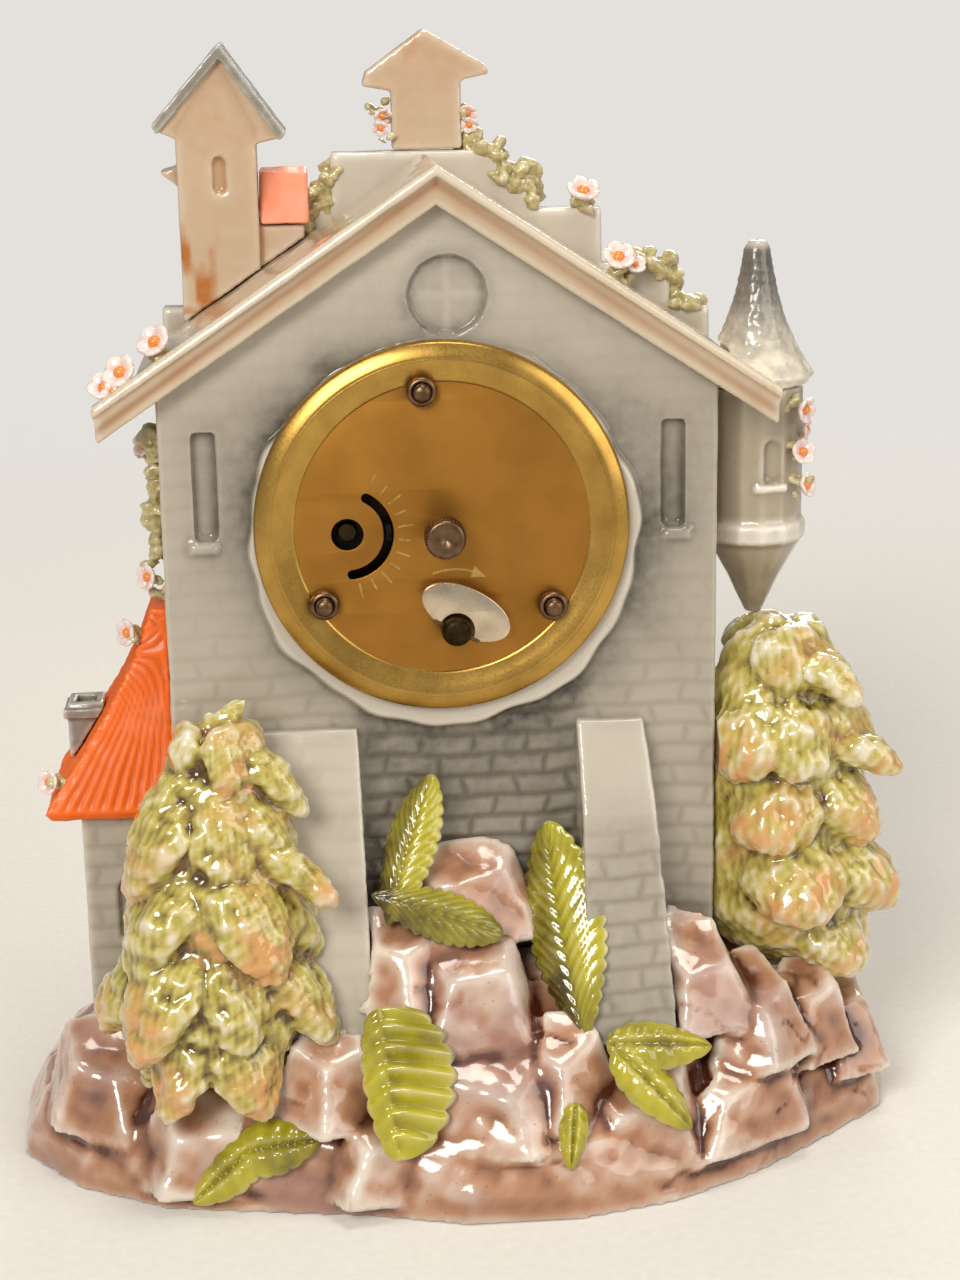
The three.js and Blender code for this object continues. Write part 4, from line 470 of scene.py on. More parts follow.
class Surface:
    """The points of a piece in bench millimetres, with what softens, carves and paints them."""

    def __init__(self, obj):
        self.mesh = obj.data
        self.count = len(self.mesh.vertices)
        flat = np.empty(3 * self.count)
        self.mesh.vertices.foreach_get("co", flat)
        self.points = flat.reshape(-1, 3) * BENCH
        ends = np.empty(2 * len(self.mesh.edges), dtype=np.int32)
        self.mesh.edges.foreach_get("vertices", ends)
        self.ends = ends.reshape(-1, 2)
        self.degree = np.maximum(np.bincount(ends, minlength=self.count), 1)

    def snap(self, node, reach=0.9):
        """Draws the points near the CAD node onto it, so that its openings and edges are crisp again."""
        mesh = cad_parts[node].data
        corners = [vertex.co for vertex in mesh.vertices]
        tree = BVHTree.FromPolygons(corners, [tuple(face.vertices) for face in mesh.polygons])
        for i, point in enumerate(self.points / BENCH):
            nearest, _, _, distance = tree.find_nearest(Vector(point))
            if distance < reach * MM:
                self.points[i] = np.array(nearest) * BENCH

    def around(self, values):
        """Mean of the neighbours' values at each point."""
        first, second = self.ends.T
        sums = [
            np.bincount(first, column[second], self.count) + np.bincount(second, column[first], self.count)
            for column in values.T
        ]
        return np.stack(sums, 1) / self.degree[:, None]

    def relax(self, rounds):
        """Softens edges without shrinking the piece."""
        for _ in range(rounds):
            for pull in EASE_STEPS:
                self.points = self.points + pull * (self.around(self.points) - self.points)

    def normals(self):
        self.store()
        flat = np.empty(3 * self.count)
        self.mesh.vertex_normals.foreach_get("vector", flat)
        return flat.reshape(-1, 3) * np.sign(BENCH)

    def push(self, heights):
        """Moves each point along its normal."""
        self.points = self.points + self.normals() * heights[:, None]

    def paint(self, name, values):
        layer = self.mesh.attributes.get(name) or self.mesh.attributes.new(name, "FLOAT", "POINT")
        layer.data.foreach_set("value", np.clip(values, 0, 1).astype(np.float32))

    def tone(self, reach, span):
        """0 in hollows and 1 on edges: how far each point stands out of its smoothed neighbourhood."""
        smooth = self.points
        for _ in range(reach):
            smooth = smooth + 0.5 * (self.around(smooth) - smooth)
        stand = ((self.points - smooth) * self.normals()).sum(1)
        return 0.5 + stand / (2 * span)

    def store(self):
        self.mesh.vertices.foreach_set("co", (self.points / BENCH).astype(np.float32).ravel())
        self.mesh.update()


def rises(low, high, values):
    """0 at low, 1 at high, which may lie below it, and a smooth step between."""
    t = np.clip((values - low) / (high - low), 0, 1)
    return t * t * (3 - 2 * t)


def hump(values, width):
    """1 at zero, falling off smoothly over about that width."""
    return np.exp(-((values / width) ** 2))


def waves(points, size, seed):
    """Smooth noise about zero from seeded sine waves of about that size."""
    random = np.random.default_rng(seed)
    total = np.zeros(len(points))
    for octave in (1, 2, 4):
        for _ in range(5):
            direction = random.normal(size=3)
            direction *= 2 * math.pi * octave / (size * np.linalg.norm(direction))
            total += np.sin(points @ direction + random.uniform(0, 2 * math.pi)) / octave
    return total / 4


def lay_bricks(surface, sizes, depth, seed):
    """Carves hand-laid courses into upright faces, to the depth given; returns joints from 0 to 1."""
    course, brick = sizes.course / MM, sizes.brick / MM
    normals = surface.normals()
    x, y, z = surface.points.T
    sideways = np.abs(normals[:, 0]) > np.abs(normals[:, 1])
    upright = np.clip(2.2 - 3 * np.abs(normals[:, 2]), 0, 1)
    along = np.where(sideways, y + 3, x)
    level = z + 0.4 * np.sin(0.11 * along + seed) + 0.2 * np.sin(0.34 * along + 2 * seed)
    row = np.floor(level / course)
    shift = np.modf(np.abs(np.sin(row * 12.9898 + seed) * 43758.5453))[0]
    place = along + 0.7 * np.sin(0.5 * z) + (0.5 * row + 0.35 * shift) * brick
    column = np.floor(place / brick)
    low, left = level - row * course, place - column * brick
    joint = np.minimum(np.minimum(low, course - low), np.minimum(left, brick - left))
    number = np.modf(np.abs(np.sin(row * 78.233 + column * 37.719 + seed) * 24634.6345))[0]
    groove = hump(joint, sizes.joint / MM) * upright
    surface.push(depth * (0.5 * (number - 0.5) * upright - groove))
    return groove


def skinned(node, cell, rounds, *extras):
    """A glazed copy of a CAD node with an even skin and soft edges, and its surface."""
    piece = remeshed(joined(copied(node + "_glazed", node), *extras), cell)
    surface = Surface(piece)
    surface.snap(node)
    surface.relax(rounds)
    return piece, surface


class ClockOperator:
    """Shared parts of the clock's operators"""

    bl_options = {"REGISTER", "UNDO"}


class CLOCK_OT_stage(ClockOperator, bpy.types.Operator):
    """Pale floor, soft lamps and the camera at the photographed angle"""

    bl_idname = "clock.stage"
    bl_label = "Stage"

    floor_radius = 1.1
    camera_place = (0.02506, 0.47022, 0.22835)
    camera_forward = (-0.0688, -0.96173, -0.2652)
    camera_roll = math.radians(-1.0)
    lens = 67.28
    target = (0, 0, 0.1)
    lamps = (
        ("key_lamp", (0.45, 1.0, 0.72), 0.45, 9.6),
        ("fill_lamp", (-0.9, 0.7, 0.5), 0.8, 4.4),
        ("top_lamp", (-0.1, 0.15, 1.15), 0.35, 3.4),
        ("far_lamp", (-0.35, -1.1, 0.8), 0.7, 8.0),
    )

    def execute(self, context):
        scene = context.scene
        scene.view_settings.view_transform = "Standard"
        self.light_world(scene)
        self.lay_floor()
        for name, place, size, watts in self.lamps:
            lamp = bpy.data.lights.new(name, "AREA")
            lamp.size = size
            lamp.energy = watts
            lamp.color = linear("fffaf2")[:3]
            self.aim(name, lamp, place, (Vector(self.target) - Vector(place)).to_track_quat("-Z", "Y"))
        camera = bpy.data.cameras.new("camera")
        camera.lens = self.lens
        camera.sensor_width = 36.0
        camera.clip_start = 0.01
        look = Vector(self.camera_forward).to_track_quat("-Z", "Y")
        roll = Quaternion((0, 0, 1), self.camera_roll)
        scene.camera = self.aim("camera", camera, self.camera_place, look @ roll)
        return {"FINISHED"}

    def aim(self, name, data, place, turn):
        obj = link(name, data)
        obj.location = place
        obj.rotation_mode = "QUATERNION"
        obj.rotation_quaternion = turn
        return obj

    def light_world(self, scene):
        """Soft even light on surfaces, and a pale ground where the camera or the glass looks past them."""
        world = bpy.data.worlds.new("studio")
        world.use_nodes = True
        scene.world = world
        tree = world.node_tree
        tree.nodes.clear()
        path = add(tree, "ShaderNodeLightPath").outputs
        rays = {0: path["Is Camera Ray"], 1: path["Is Transmission Ray"]}
        shown = add(tree, "ShaderNodeMath", rays, operation="MAXIMUM")
        soft = add(tree, "ShaderNodeBackground", {"Color": linear("f1eeea"), "Strength": 0.37})
        ground = add(tree, "ShaderNodeBackground", {"Color": linear("e4e1dc"), "Strength": 1.0})
        mix = add(tree, "ShaderNodeMixShader", {0: shown, 1: soft.outputs[0], 2: ground.outputs[0]})
        add(tree, "ShaderNodeOutputWorld", {"Surface": mix.outputs[0]})

    def lay_floor(self):
        """A matt pale floor that fades into the ground colour at its edge."""
        floor = link("floor", bpy.data.meshes.new("floor"))
        disc = {"cap_ends": True, "segments": 96, "radius": self.floor_radius}
        reshaped(floor, lambda shape: bmesh.ops.create_circle(shape, **disc))
        floor.location.z = -0.0002
        material = bpy.data.materials.new("matt_pale_floor")
        material.use_nodes = True
        tree = material.node_tree
        tree.nodes.clear()
        place = add(tree, "ShaderNodeTexCoord").outputs["Object"]
        away = add(tree, "ShaderNodeVectorMath", {0: place}, operation="LENGTH").outputs["Value"]
        fading = {"Value": away, "From Min": 0.3, "From Max": 0.95}
        edge = add(tree, "ShaderNodeMapRange", fading, interpolation_type="SMOOTHSTEP")
        fibres = add(tree, "ShaderNodeTexNoise", {"Vector": place, "Scale": per(2.0), "Detail": 3.0})
        pale = ((0.2, linear("dad7d1")), (0.8, linear("e2dfd9")))
        paper = add(tree, "ShaderNodeValToRGB", {"Fac": fibres}, stops=pale)
        matt = add(tree, "ShaderNodeBsdfDiffuse", {"Color": paper, "Roughness": 0.6})
        gone = add(tree, "ShaderNodeBsdfTransparent")
        fade = {0: edge.outputs["Result"], 1: matt.outputs[0], 2: gone.outputs[0]}
        mix = add(tree, "ShaderNodeMixShader", fade)
        add(tree, "ShaderNodeOutputMaterial", {"Surface": mix.outputs[0]})
        floor.data.materials.append(material)


def refine_back(shape):
    """Splits once the faces of the rear wall."""
    chosen = [
        face for face in shape.faces
        if face.calc_center_median().y * BENCH[1] < BACK_Y + 2.6 and face.normal.y > -0.5
    ]
    edges = {edge for face in chosen for edge in face.edges}
    bmesh.ops.subdivide_edges(shape, edges=list(edges), cuts=1, use_grid_fill=True)


class CLOCK_OT_walls(ClockOperator, bpy.types.Operator):
    """House shell, facade, lean-to and buttresses: faint bricks under grey glaze, dark round openings, and
    painted shade in recesses, at the buttresses' roots, low down and towards the right
    """

    bl_idname = "clock.walls"
    bl_label = "Walls"

    # Middle and radius of the round window, middles, width and height of the slits, and radii of the collar
    oculus = (1.9, 171.8, 7.7)
    slits = (-44.9, 44.9)
    slit_middle, slit_half, slit_side = 136.6, 10.6, 2.2
    collar_in, collar_edge, collar_out, evenings = 35.0, 37.4, 43.0, 12
    cells = {"facade": 0.85, "lean_to": 0.7, "buttress_left": 0.65, "buttress_right": 0.65}
    brick_depths = {"facade": 0.0, "lean_to": 0.08, "buttress_left": 0.03}
    # Where a pattern or a painted shade starts and where it is full
    buttress_bricks, faint_bricks, low_shade, pale_eaves = (74, 60), (112, 84), (48, 30), (158, 172)
    root_shade, dim_foot, dim_base, dim_right = (-27, -22.5), (80, 62), (64, 40), (10, 50)
    court_top, court_left, court_right = (106, 92), (-20, -14), (30, 24)
    pale_gable, bare_collar = (146, 166), (DIAL_Z + 32, DIAL_Z + 18)
    pane_depth, bar_height = 1.45, 0.2

    def execute(self, context):
        scene, made = context.scene, finishes(context.scene)
        sizes = scene.clock_sizes
        glaze = made["glazed_wall_grey"]
        self.house(sizes, glaze)
        for i, (node, cell) in enumerate(self.cells.items()):
            piece, surface = skinned(node, cell * MM, 2)
            x, y, z = surface.points.T
            depth = self.brick_depths.get(node, 0.13 * rises(*self.buttress_bricks, z))
            joints = lay_bricks(surface, sizes, depth + np.zeros(surface.count), 2.0 + i)
            surface.push(0.14 * waves(surface.points, 17.0, 30 + i))
            buttress = node.startswith("buttress")
            thin = 0.16 * rises(*self.pale_eaves, z) + 0.1 * buttress
            surface.paint("tone", surface.tone(8, 0.9) + thin - 1.2 * depth * joints)
            # Painted shade where the buttresses meet the wall, on the right buttress's foot below its lit
            # top, and lower down on every piece
            root = 0.3 * rises(*self.root_shade, y) * buttress
            root = root + 0.24 * rises(*self.dim_foot, z) * (node == "buttress_right")
            low = 0.14 * rises(*self.low_shade, z)
            surface.paint("tint", low + root + 0.05 * waves(surface.points, 22.0, 40 + i))
            seat(piece, glaze, "wall_glaze", node)
        return {"FINISHED"}

    def house(self, sizes, glaze):
        piece = remeshed(copied("house_shell_glazed", "house_shell"), sizes.wall_cell)
        reshaped(piece, refine_back)
        surface = Surface(piece)
        even = surface.points.copy()
        surface.snap("house_shell")
        behind = rises(BACK_Y + 3.5, BACK_Y + 2.5, even[:, 1])
        pane, bars = (part * behind for part in self.window(even))
        even[:, 1] = BACK_Y + self.pane_depth - self.bar_height * bars
        surface.points += pane[:, None] * (even - surface.points)
        collar = self.tear_collar(surface)
        surface.relax(2)
        x, y, z = surface.points.T
        court = rises(*self.court_top, z) * rises(*self.court_right, x) * rises(*self.court_left, x)
        low = np.maximum(court, 0.3 * rises(*self.faint_bricks, z))
        depth = (0.02 + 0.2 * low) * (1 - collar)
        joints = lay_bricks(surface, sizes, depth, 0.7)
        surface.push(0.14 * waves(surface.points, 19.0, 3))
        thin = 0.1 * collar + 0.1 * bars + 0.1 * rises(*self.pale_gable, z)
        surface.paint("tone", surface.tone(10, 1.0) - 1.3 * depth * joints + thin)
        bare = collar * rises(*self.bare_collar, z)
        surface.paint("tint", behind * self.airbrush(surface.points, court) * (1 - bare))
        seat(piece, glaze, "wall_glaze", "house_shell")

    def torn_edge(self, turn):
        """Radius of the ragged edge of the collar, widest at the lower right."""
        ragged = np.sin(7 * turn + 1.0) + 0.8 * np.sin(12 * turn + 0.3) + 0.5 * np.sin(23 * turn + 2.0)
        return self.collar_edge + 0.6 * np.cos(turn) - 2.6 * np.sin(turn) + 0.42 * ragged

    def tear_collar(self, surface):
        """Evens the mesh of the proud collar, tears its edge and returns where it is, from 0 to 1."""
        x, y, z = surface.points.T
        away = np.hypot(x, z - DIAL_Z)
        height = BACK_Y - y[away < self.collar_out].min()
        skin = (y < BACK_Y + 0.4) & (away > self.collar_in) & (away < self.collar_out)
        for _ in range(self.evenings):
            surface.points[skin] += 0.5 * (surface.around(surface.points) - surface.points)[skin]
        x, y, z = surface.points.T
        edge = self.torn_edge(np.arctan2(z - DIAL_Z, x))
        proud = skin * rises(edge + 0.5, edge - 0.5, np.hypot(x, z - DIAL_Z))
        surface.points[skin, 1] = (BACK_Y - height * proud)[skin]
        return proud

    def window(self, points):
        """The flat pane of the round window and the faint glazing bars across it, from 0 to 1."""
        cx, cz, radius = self.oculus
        x, y, z = points.T
        inside = rises(radius - 0.25, radius - 0.6, np.hypot(x - cx, z - cz))
        return inside, inside * np.maximum(hump(x - cx, 0.9), hump(z - cz, 0.9))

    def airbrush(self, points, court):
        """Sprayed grey round the bore, window and slits, darker on the courses between the buttresses,
        painted shadow inside the window and slits, and painted shade lower down and towards the right.
        """
        x, y, z = points.T
        away = np.hypot(x, z - DIAL_Z)
        turn = np.arctan2(z - DIAL_Z, x)
        weight = 0.62 + 0.26 * np.sin(2 * turn + 2.4) + 0.14 * np.sin(3 * turn + 0.6)
        edge = self.torn_edge(turn)
        ring = 0.84 * weight * np.exp(-((np.maximum(away - edge, 0) / 6.8) ** 1.2))
        ring *= np.maximum(rises(-1.2, 0.4, away - edge), rises(18, 32, z - DIAL_Z))
        cx, cz, radius = self.oculus
        from_window = np.hypot(x - cx, z - cz) - radius
        window = 0.24 * hump(np.maximum(from_window, 0), 1.8) * rises(-0.8, 0.2, from_window)
        # Painted shadow inside the recessed pane, deepest towards its rim, over a grey fill
        pane = rises(0.3, -0.4, from_window) * (0.14 + 0.26 * rises(-3.4, 0.0, from_window))
        shade = ring + window + pane
        for slit in self.slits:
            across = np.maximum(np.abs(x - slit) - self.slit_side, 0)
            upward = np.maximum(np.abs(z - self.slit_middle) - self.slit_half, 0)
            near = np.hypot(across, upward)
            # Painted shade inside each slit's recess, darkest on its right inner side, and a sprayed halo
            # round it
            inside = rises(BACK_Y + 0.6, BACK_Y + 1.6, y) * hump(near, 0.8)
            gloom = inside * (0.02 + 0.26 * rises(slit + 0.6, slit + self.slit_side, x))
            shade = shade + 0.1 * hump(near, 2.4) + gloom
        # Darker between the buttresses, and painted shade lower down and towards the right
        shade = shade + 0.42 * court + 0.3 * rises(*self.dim_base, z) + 0.08 * rises(*self.dim_right, x)
        return np.clip(shade * (1 + 0.3 * waves(points, 13.0, 8)), 0, 0.92)


class CLOCK_OT_towers(ClockOperator, bpy.types.Operator):
    """Bell tower, bell-cote, turret and the roof with its moulded rim, in stained cream glaze, darkened on
    the turret as painted shade
    """

    bl_idname = "clock.towers"
    bl_label = "Towers and roof"

    # Front and rear of the tower's head and its outline
    gable_ends = (8.6, 23.4)
    gable_outline = ((-53.0, 201.5), (-39.5, 216.8), (-27.5, 199.6), (-33.6, 198.4), (-48.4, 199.6))
    # Face of the roof's rim, and how far down it the lip, the line and the band lie
    rim_face, lip, line, band = -26.8, 1.1, 2.9, (2.0, 3.4)
    # Height of the seam across the tower's foot, and its left edge
    seam_height, tower_left = 165.6, -49.0
    # Where the stains start and where they are full
    tower_peach, cote_peach, runs_left, runs_top = (165, 205), (198, 216), (-40, -45), (186, 176)
    # The turret's sill, window, ring and crease
    sill_height, window_middle, crease, ring_low, ring_high = 131.0, 65.6, 119.2, 120.0, 124.9

    def execute(self, context):
        scene, made = context.scene, finishes(context.scene)
        sizes = scene.clock_sizes
        for i, node in enumerate(("roof", "bell_tower", "bell_cote", "turret")):
            extras = [self.gable()] if node == "bell_tower" else []
            piece, surface = skinned(node, sizes.cell * (0.8 if node == "roof" else 1.0), 2, *extras)
            runs = waves(surface.points * np.array([1.0, 1.0, 0.3]), 7.0, 60 + i)
            stains, dim = getattr(self, node)(surface, runs)
            surface.push(0.09 * waves(surface.points, 12.0, 50 + i))
            surface.paint("tone", surface.tone(9, 0.9) - dim)
            surface.paint("tint", stains)
            seat(piece, made["glazed_tan" if node == "turret" else "glazed_cream"], "cream_glaze", node)
        return {"FINISHED"}

    def gable(self):
        """The tower's head, which widens to the eaves."""
        count = len(self.gable_outline)
        points = [(x, y, z) for y in self.gable_ends for x, z in self.gable_outline]
        ends = [tuple(range(count)), tuple(range(2 * count - 1, count - 1, -1))]
        return reshaped(shaped("gable", points, tube_faces(2, count) + ends), close)

    def roof(self, surface, runs):
        """A rounded lip over a plain band along the rear of the rim, and a faint line between them."""
        x, y, z = surface.points.T
        below = (RIM_TOP_Z - RIM_SLOPE * np.abs(x) - z) / math.hypot(1, RIM_SLOPE)
        rear = rises(self.rim_face + 1, self.rim_face, y)
        surface.points[:, 1] -= rear * (0.7 * hump(below - self.lip, 1.3) - 0.5 * rises(*self.band, below))
        line = hump(below - self.line, 0.7) * rear * (0.35 + 0.65 * rises(30, -10, x))
        return 0.06 + 0.08 * line + 0.12 * rises(0.5, 1.0, runs), 0.05 + 0.11 * line

    def bell_tower(self, surface, runs):
        """Peach towards the top, orange runs low on the left and a mended seam across the foot."""
        x, y, z = surface.points.T
        crooked = self.seam_height + 0.3 * (x - self.tower_left) + 0.5 * np.sin(x)
        seam = hump(z - crooked, 0.55)
        low_left = rises(*self.runs_left, x) * rises(*self.runs_top, z)
        peach = 0.14 + 0.14 * rises(*self.tower_peach, z)
        return peach + 0.85 * seam + low_left * rises(0.0, 0.5, runs), 0.02

    def bell_cote(self, surface, runs):
        peach = 0.18 + 0.14 * rises(*self.cote_peach, surface.points[:, 2])
        return peach + 0.25 * rises(0.5, 1.0, runs), 0.02

    def turret(self, surface, runs):
        """A sill under the window, a pale ring and a browner corbel, with painted shade in the crease over
        it.
        """
        x, y, z = surface.points.T
        sill = rises(0.9, 0.5, np.abs(z - self.sill_height))
        sill = sill * rises(3.6, 3.0, np.abs(x - self.window_middle)) * rises(-10, -12, y)
        surface.push(0.7 * sill)
        ring = rises(-0.5, 0.5, z - self.ring_low) * rises(0.5, -0.5, z - self.ring_high)
        # Brown on the corbel, and painted shade in the crease under the ring
        brown = 0.06 + 0.34 * rises(0, -8, z - self.ring_low) + 0.4 * hump(z - self.crease, 0.7)
        brown = brown + 0.15 * rises(0.4, 1.0, runs)
        return brown * (1 - ring), -0.2 * ring - 0.14 * sill


class CLOCK_OT_roofs(ClockOperator, bpy.types.Operator):
    """Ribbed lean-to and annex roofs and the door in orange, slate roofs and chimney in silver grey"""

    bl_idname = "clock.roofs"
    bl_label = "Small roofs"

    ribs = 11
    lean_wall, lean_top, lean_foot = -53.8, 111.0, 72.0
    scale_row, scale_count = 1.9, 20
    # Outer edge, middle and depth of the lean-to's roof at its top, and how much each grows downwards
    lean_edge, edge_growth, lean_middle, middle_growth = -57, 22, -5, 1.25
    lean_depth, depth_growth = 16, 19.5
    turret_middle, cone_foot, cone_height = (64.0, -4.0), 153.0, 25.5
    # Where the cone's scales end, its dark top starts and its cream foot and tip begin
    scales_end, dark_top, cream_foot, pale_tip = (178, 172), (160, 176), (170, 153), (177, 178.3)

    def execute(self, context):
        scene, made = context.scene, finishes(context.scene)
        sizes = scene.clock_sizes
        for node in ("lean_to_roof", "annex_roof", "front_door"):
            piece, surface = skinned(node, sizes.cell * 0.8, 3)
            if node == "lean_to_roof":
                self.rib(surface)
            surface.push(0.14 * waves(surface.points, 8.0, 70))
            surface.paint("tone", surface.tone(8, 0.6))
            salmon = 0.62 if node == "annex_roof" else 0.0
            surface.paint("tint", salmon + 0.05 * waves(surface.points, 9.0, 71))
            seat(piece, made["glazed_orange"], "orange_glaze", node)
        for i, node in enumerate(("bell_tower_roof", "turret_roof", "lean_to_chimney")):
            piece, surface = skinned(node, sizes.cell * 0.7, 2)
            dark, tint = 0.0, np.zeros(surface.count)
            if node == "turret_roof":
                dark, tint = self.cone(surface)
            surface.push(0.1 * waves(surface.points, 5.0, 80 + i))
            surface.paint("tone", surface.tone(6, 0.5) - dark)
            surface.paint("tint", tint)
            seat(piece, made["glazed_slate_grey"], "grey_glaze", node)
        return {"FINISHED"}

    def cone(self, surface):
        """Scales on a hollow-sided cone; returns its dark upper half and its cream foot and tip."""
        z = surface.points[:, 2]
        surface.push(0.2 * self.scales(surface.points) * rises(*self.scales_end, z))
        waist = 1 - 0.16 * np.sin(math.pi * np.clip((z - self.cone_foot) / self.cone_height, 0, 1))
        for axis, middle in enumerate(self.turret_middle):
            surface.points[:, axis] = middle + (surface.points[:, axis] - middle) * waist
        foot = rises(*self.cream_foot, z) * (0.8 + 0.3 * waves(surface.points, 5.0, 81))
        return 0.3 * rises(*self.dark_top, z), foot + 0.6 * rises(*self.pale_tip, z)

    def rib(self, surface):
        """Soft ribs that close up towards the hip."""
        normals = surface.normals()
        x, y, z = surface.points.T
        spread = (1 - np.clip((z - self.lean_foot) / (self.lean_top - self.lean_foot), 0, 1)) ** 1.3
        edge = self.lean_edge - self.edge_growth * spread
        across = (x - self.lean_wall) / (edge - self.lean_wall)
        middle = self.lean_middle + self.middle_growth * spread
        deep = (y - middle) / (self.lean_depth + self.depth_growth * spread) + 0.5
        facing = np.abs(normals[:, 0]) > np.abs(normals[:, 1])
        place = np.where(facing, 1.5 * deep, across) * self.ribs + 0.25 * waves(surface.points, 18.0, 72)
        outer = rises(71.5, 74.5, z) * rises(0.9, 0.65, np.abs(normals[:, 2]))
        surface.push(0.3 * outer * np.cos(2 * math.pi * place))

    def scales(self, points):
        """Overlapping thumbed scales on the cone."""
        x, y, z = points.T
        turn = np.arctan2(y - self.turret_middle[1], x - self.turret_middle[0]) / (2 * math.pi)
        lap, row = np.modf(z / self.scale_row)
        return np.abs(np.sin(math.pi * (self.scale_count * turn + 0.5 * row))) * (1 - lap) - 0.4


class CLOCK_OT_rock(ClockOperator, bpy.types.Operator):
    """Rock base: tilted blocks with soft edges and stained clefts, under a wet peach glaze"""

    bl_idname = "clock.rock"
    bl_label = "Rock"

    # Where the rock is free of the table, its cracks end, and the painted shade of its foot and sides
    # starts
    free_above, cracks_end, foot_shade, side_shade = (0.8, 4.0), (48, 38), (9, 1), (44, 74)

    def execute(self, context):
        scene, made = context.scene, finishes(context.scene)
        piece = remeshed(copied("rock_base_glazed", "rock_base"), scene.clock_sizes.rock_cell)
        surface = Surface(piece)
        surface.relax(3)
        free = rises(*self.free_above, surface.points[:, 2])
        surface.push(free * (0.5 * waves(surface.points, 18.0, 91) + 0.1 * waves(surface.points, 7.0, 92)))
        broken = rises(0.0, 0.5, waves(surface.points, 24.0, 94))
        crack = hump(waves(surface.points, 34.0, 93), 0.05) * broken
        crack *= rises(*self.cracks_end, surface.points[:, 2])
        surface.push(-0.2 * free * crack)
        surface.points[:, 2] = np.maximum(surface.points[:, 2], 0.0)
        # Edges paler where the glaze thins and wears, which also paints a highlight along them
        edges = surface.tone(5, 0.6) - 0.5
        edges = edges + 0.8 * np.minimum(edges, 0)
        # Clefts between the blocks take the most colour, and painted shade darkens the foot and the two
        # sides
        blocks = surface.tone(40, 4.5) - 0.5
        deep = 1.9 * blocks + 3.2 * np.minimum(blocks - 0.01, 0)
        low = 0.1 * rises(*self.foot_shade, surface.points[:, 2])
        sides = 0.1 * rises(*self.side_shade, np.abs(surface.points[:, 0]))
        wash = waves(surface.points, 26.0, 95)
        surface.paint("tone", 0.6 + 0.8 * edges + deep - 0.12 * crack + 0.1 * wash - low - sides)
        patches = rises(-0.1, 0.9, waves(surface.points, 24.0, 96)) * rises(-0.25, 0.1, blocks)
        surface.paint("tint", 0.5 * patches)
        seat(piece, made["glazed_rock"], "rock_glaze", "rock_base")
        return {"FINISHED"}


def new_tree(name, **inputs):
    """A geometry tree with the named inputs, underscores for spaces, and the outputs of its input node."""
    tree = bpy.data.node_groups.new(name, "GeometryNodeTree")
    for title, kind in {"Geometry": "Geometry", **inputs}.items():
        tree.interface.new_socket(title.replace("_", " "), in_out="INPUT", socket_type="NodeSocket" + kind)
    tree.interface.new_socket("Geometry", in_out="OUTPUT", socket_type="NodeSocketGeometry")
    return tree, add(tree, "NodeGroupInput").outputs


def finish_tree(tree, shape, material):
    """Ends a tree: real geometry in one material."""
    real = add(tree, "GeometryNodeRealizeInstances", {0: shape})
    done = add(tree, "GeometryNodeSetMaterial", {"Geometry": real, "Material": material})
    add(tree, "NodeGroupOutput", {0: done})
    return tree


def bough_tree():
    """Geometry nodes: a drooping bough, tapered towards its tip, set on every point of the base mesh."""
    tree, given = new_tree(
        "boughs", Segments="Int", Rings="Int", Droop="Float", Taper="Float", Finish="Material"
    )
    sphere = {"Segments": given["Segments"], "Rings": given["Rings"], "Radius": 0.5}
    ball = add(tree, "GeometryNodeMeshUVSphere", sphere)
    parts = add(tree, "ShaderNodeSeparateXYZ", {0: add(tree, "GeometryNodeInputPosition")}).outputs
    along = add(tree, "ShaderNodeMath", {0: parts["X"], 1: 0.5}, operation="ADD")
    loss = add(tree, "ShaderNodeMath", {0: along, 1: given["Taper"]}, operation="MULTIPLY")
    width = add(tree, "ShaderNodeMath", {0: 1.0, 1: loss}, operation="SUBTRACT")
    square = add(tree, "ShaderNodeMath", {0: along, 1: along}, operation="MULTIPLY")
    fall = add(tree, "ShaderNodeMath", {0: square, 1: given["Droop"]}, operation="MULTIPLY")
    across = add(tree, "ShaderNodeMath", {0: parts["Y"], 1: width}, operation="MULTIPLY")
    level = add(tree, "ShaderNodeMath", {0: parts["Z"], 1: fall}, operation="SUBTRACT")
    bent = add(tree, "ShaderNodeCombineXYZ", {"X": along, "Y": across, "Z": level})
    bough = add(tree, "GeometryNodeSetPosition", {"Geometry": ball, "Position": bent})
    turn = add(tree, "GeometryNodeInputNamedAttribute", {"Name": "turn"}, data_type="FLOAT_VECTOR")
    size = add(tree, "GeometryNodeInputNamedAttribute", {"Name": "size"}, data_type="FLOAT_VECTOR")
    aim = add(tree, "FunctionNodeEulerToRotation", {0: turn})
    spread = {"Points": given["Geometry"], "Instance": bough, "Rotation": aim, "Scale": size}
    return finish_tree(tree, add(tree, "GeometryNodeInstanceOnPoints", spread), given["Finish"])


def grown(obj, tree, **inputs):
    """The piece that a geometry tree makes on this base, as a plain mesh."""
    modifier = obj.modifiers.new(tree.name, "NODES")
    modifier.node_group = tree
    for item in tree.interface.items_tree:
        title = item.name.replace(" ", "_")
        if item.in_out == "INPUT" and title in inputs:
            modifier[item.identifier] = inputs[title]
    return settle(obj)


def point_cloud(name, places, **attributes):
    """Loose points in bench millimetres with vector attributes."""
    obj = shaped(name, places, [])
    for title, values in attributes.items():
        layer = obj.data.attributes.new(title, "FLOAT_VECTOR", "POINT")
        layer.data.foreach_set("vector", np.asarray(values, np.float32).ravel())
    return obj


def tube_faces(rows, columns):
    """Quads of a grid of rows whose columns close into rings."""
    faces = []
    for row in range(0, (rows - 1) * columns, columns):
        above = row + columns
        for j in range(columns):
            k = (j + 1) % columns
            faces.append((row + j, row + k, above + k, above + j))
    return faces


def draw(number):
    """The repeatable number from 0 to 1 that shapes the boughs of the part."""
    wave = 43758.5453 * math.sin(12.9898 * number)
    return wave - math.floor(wave)


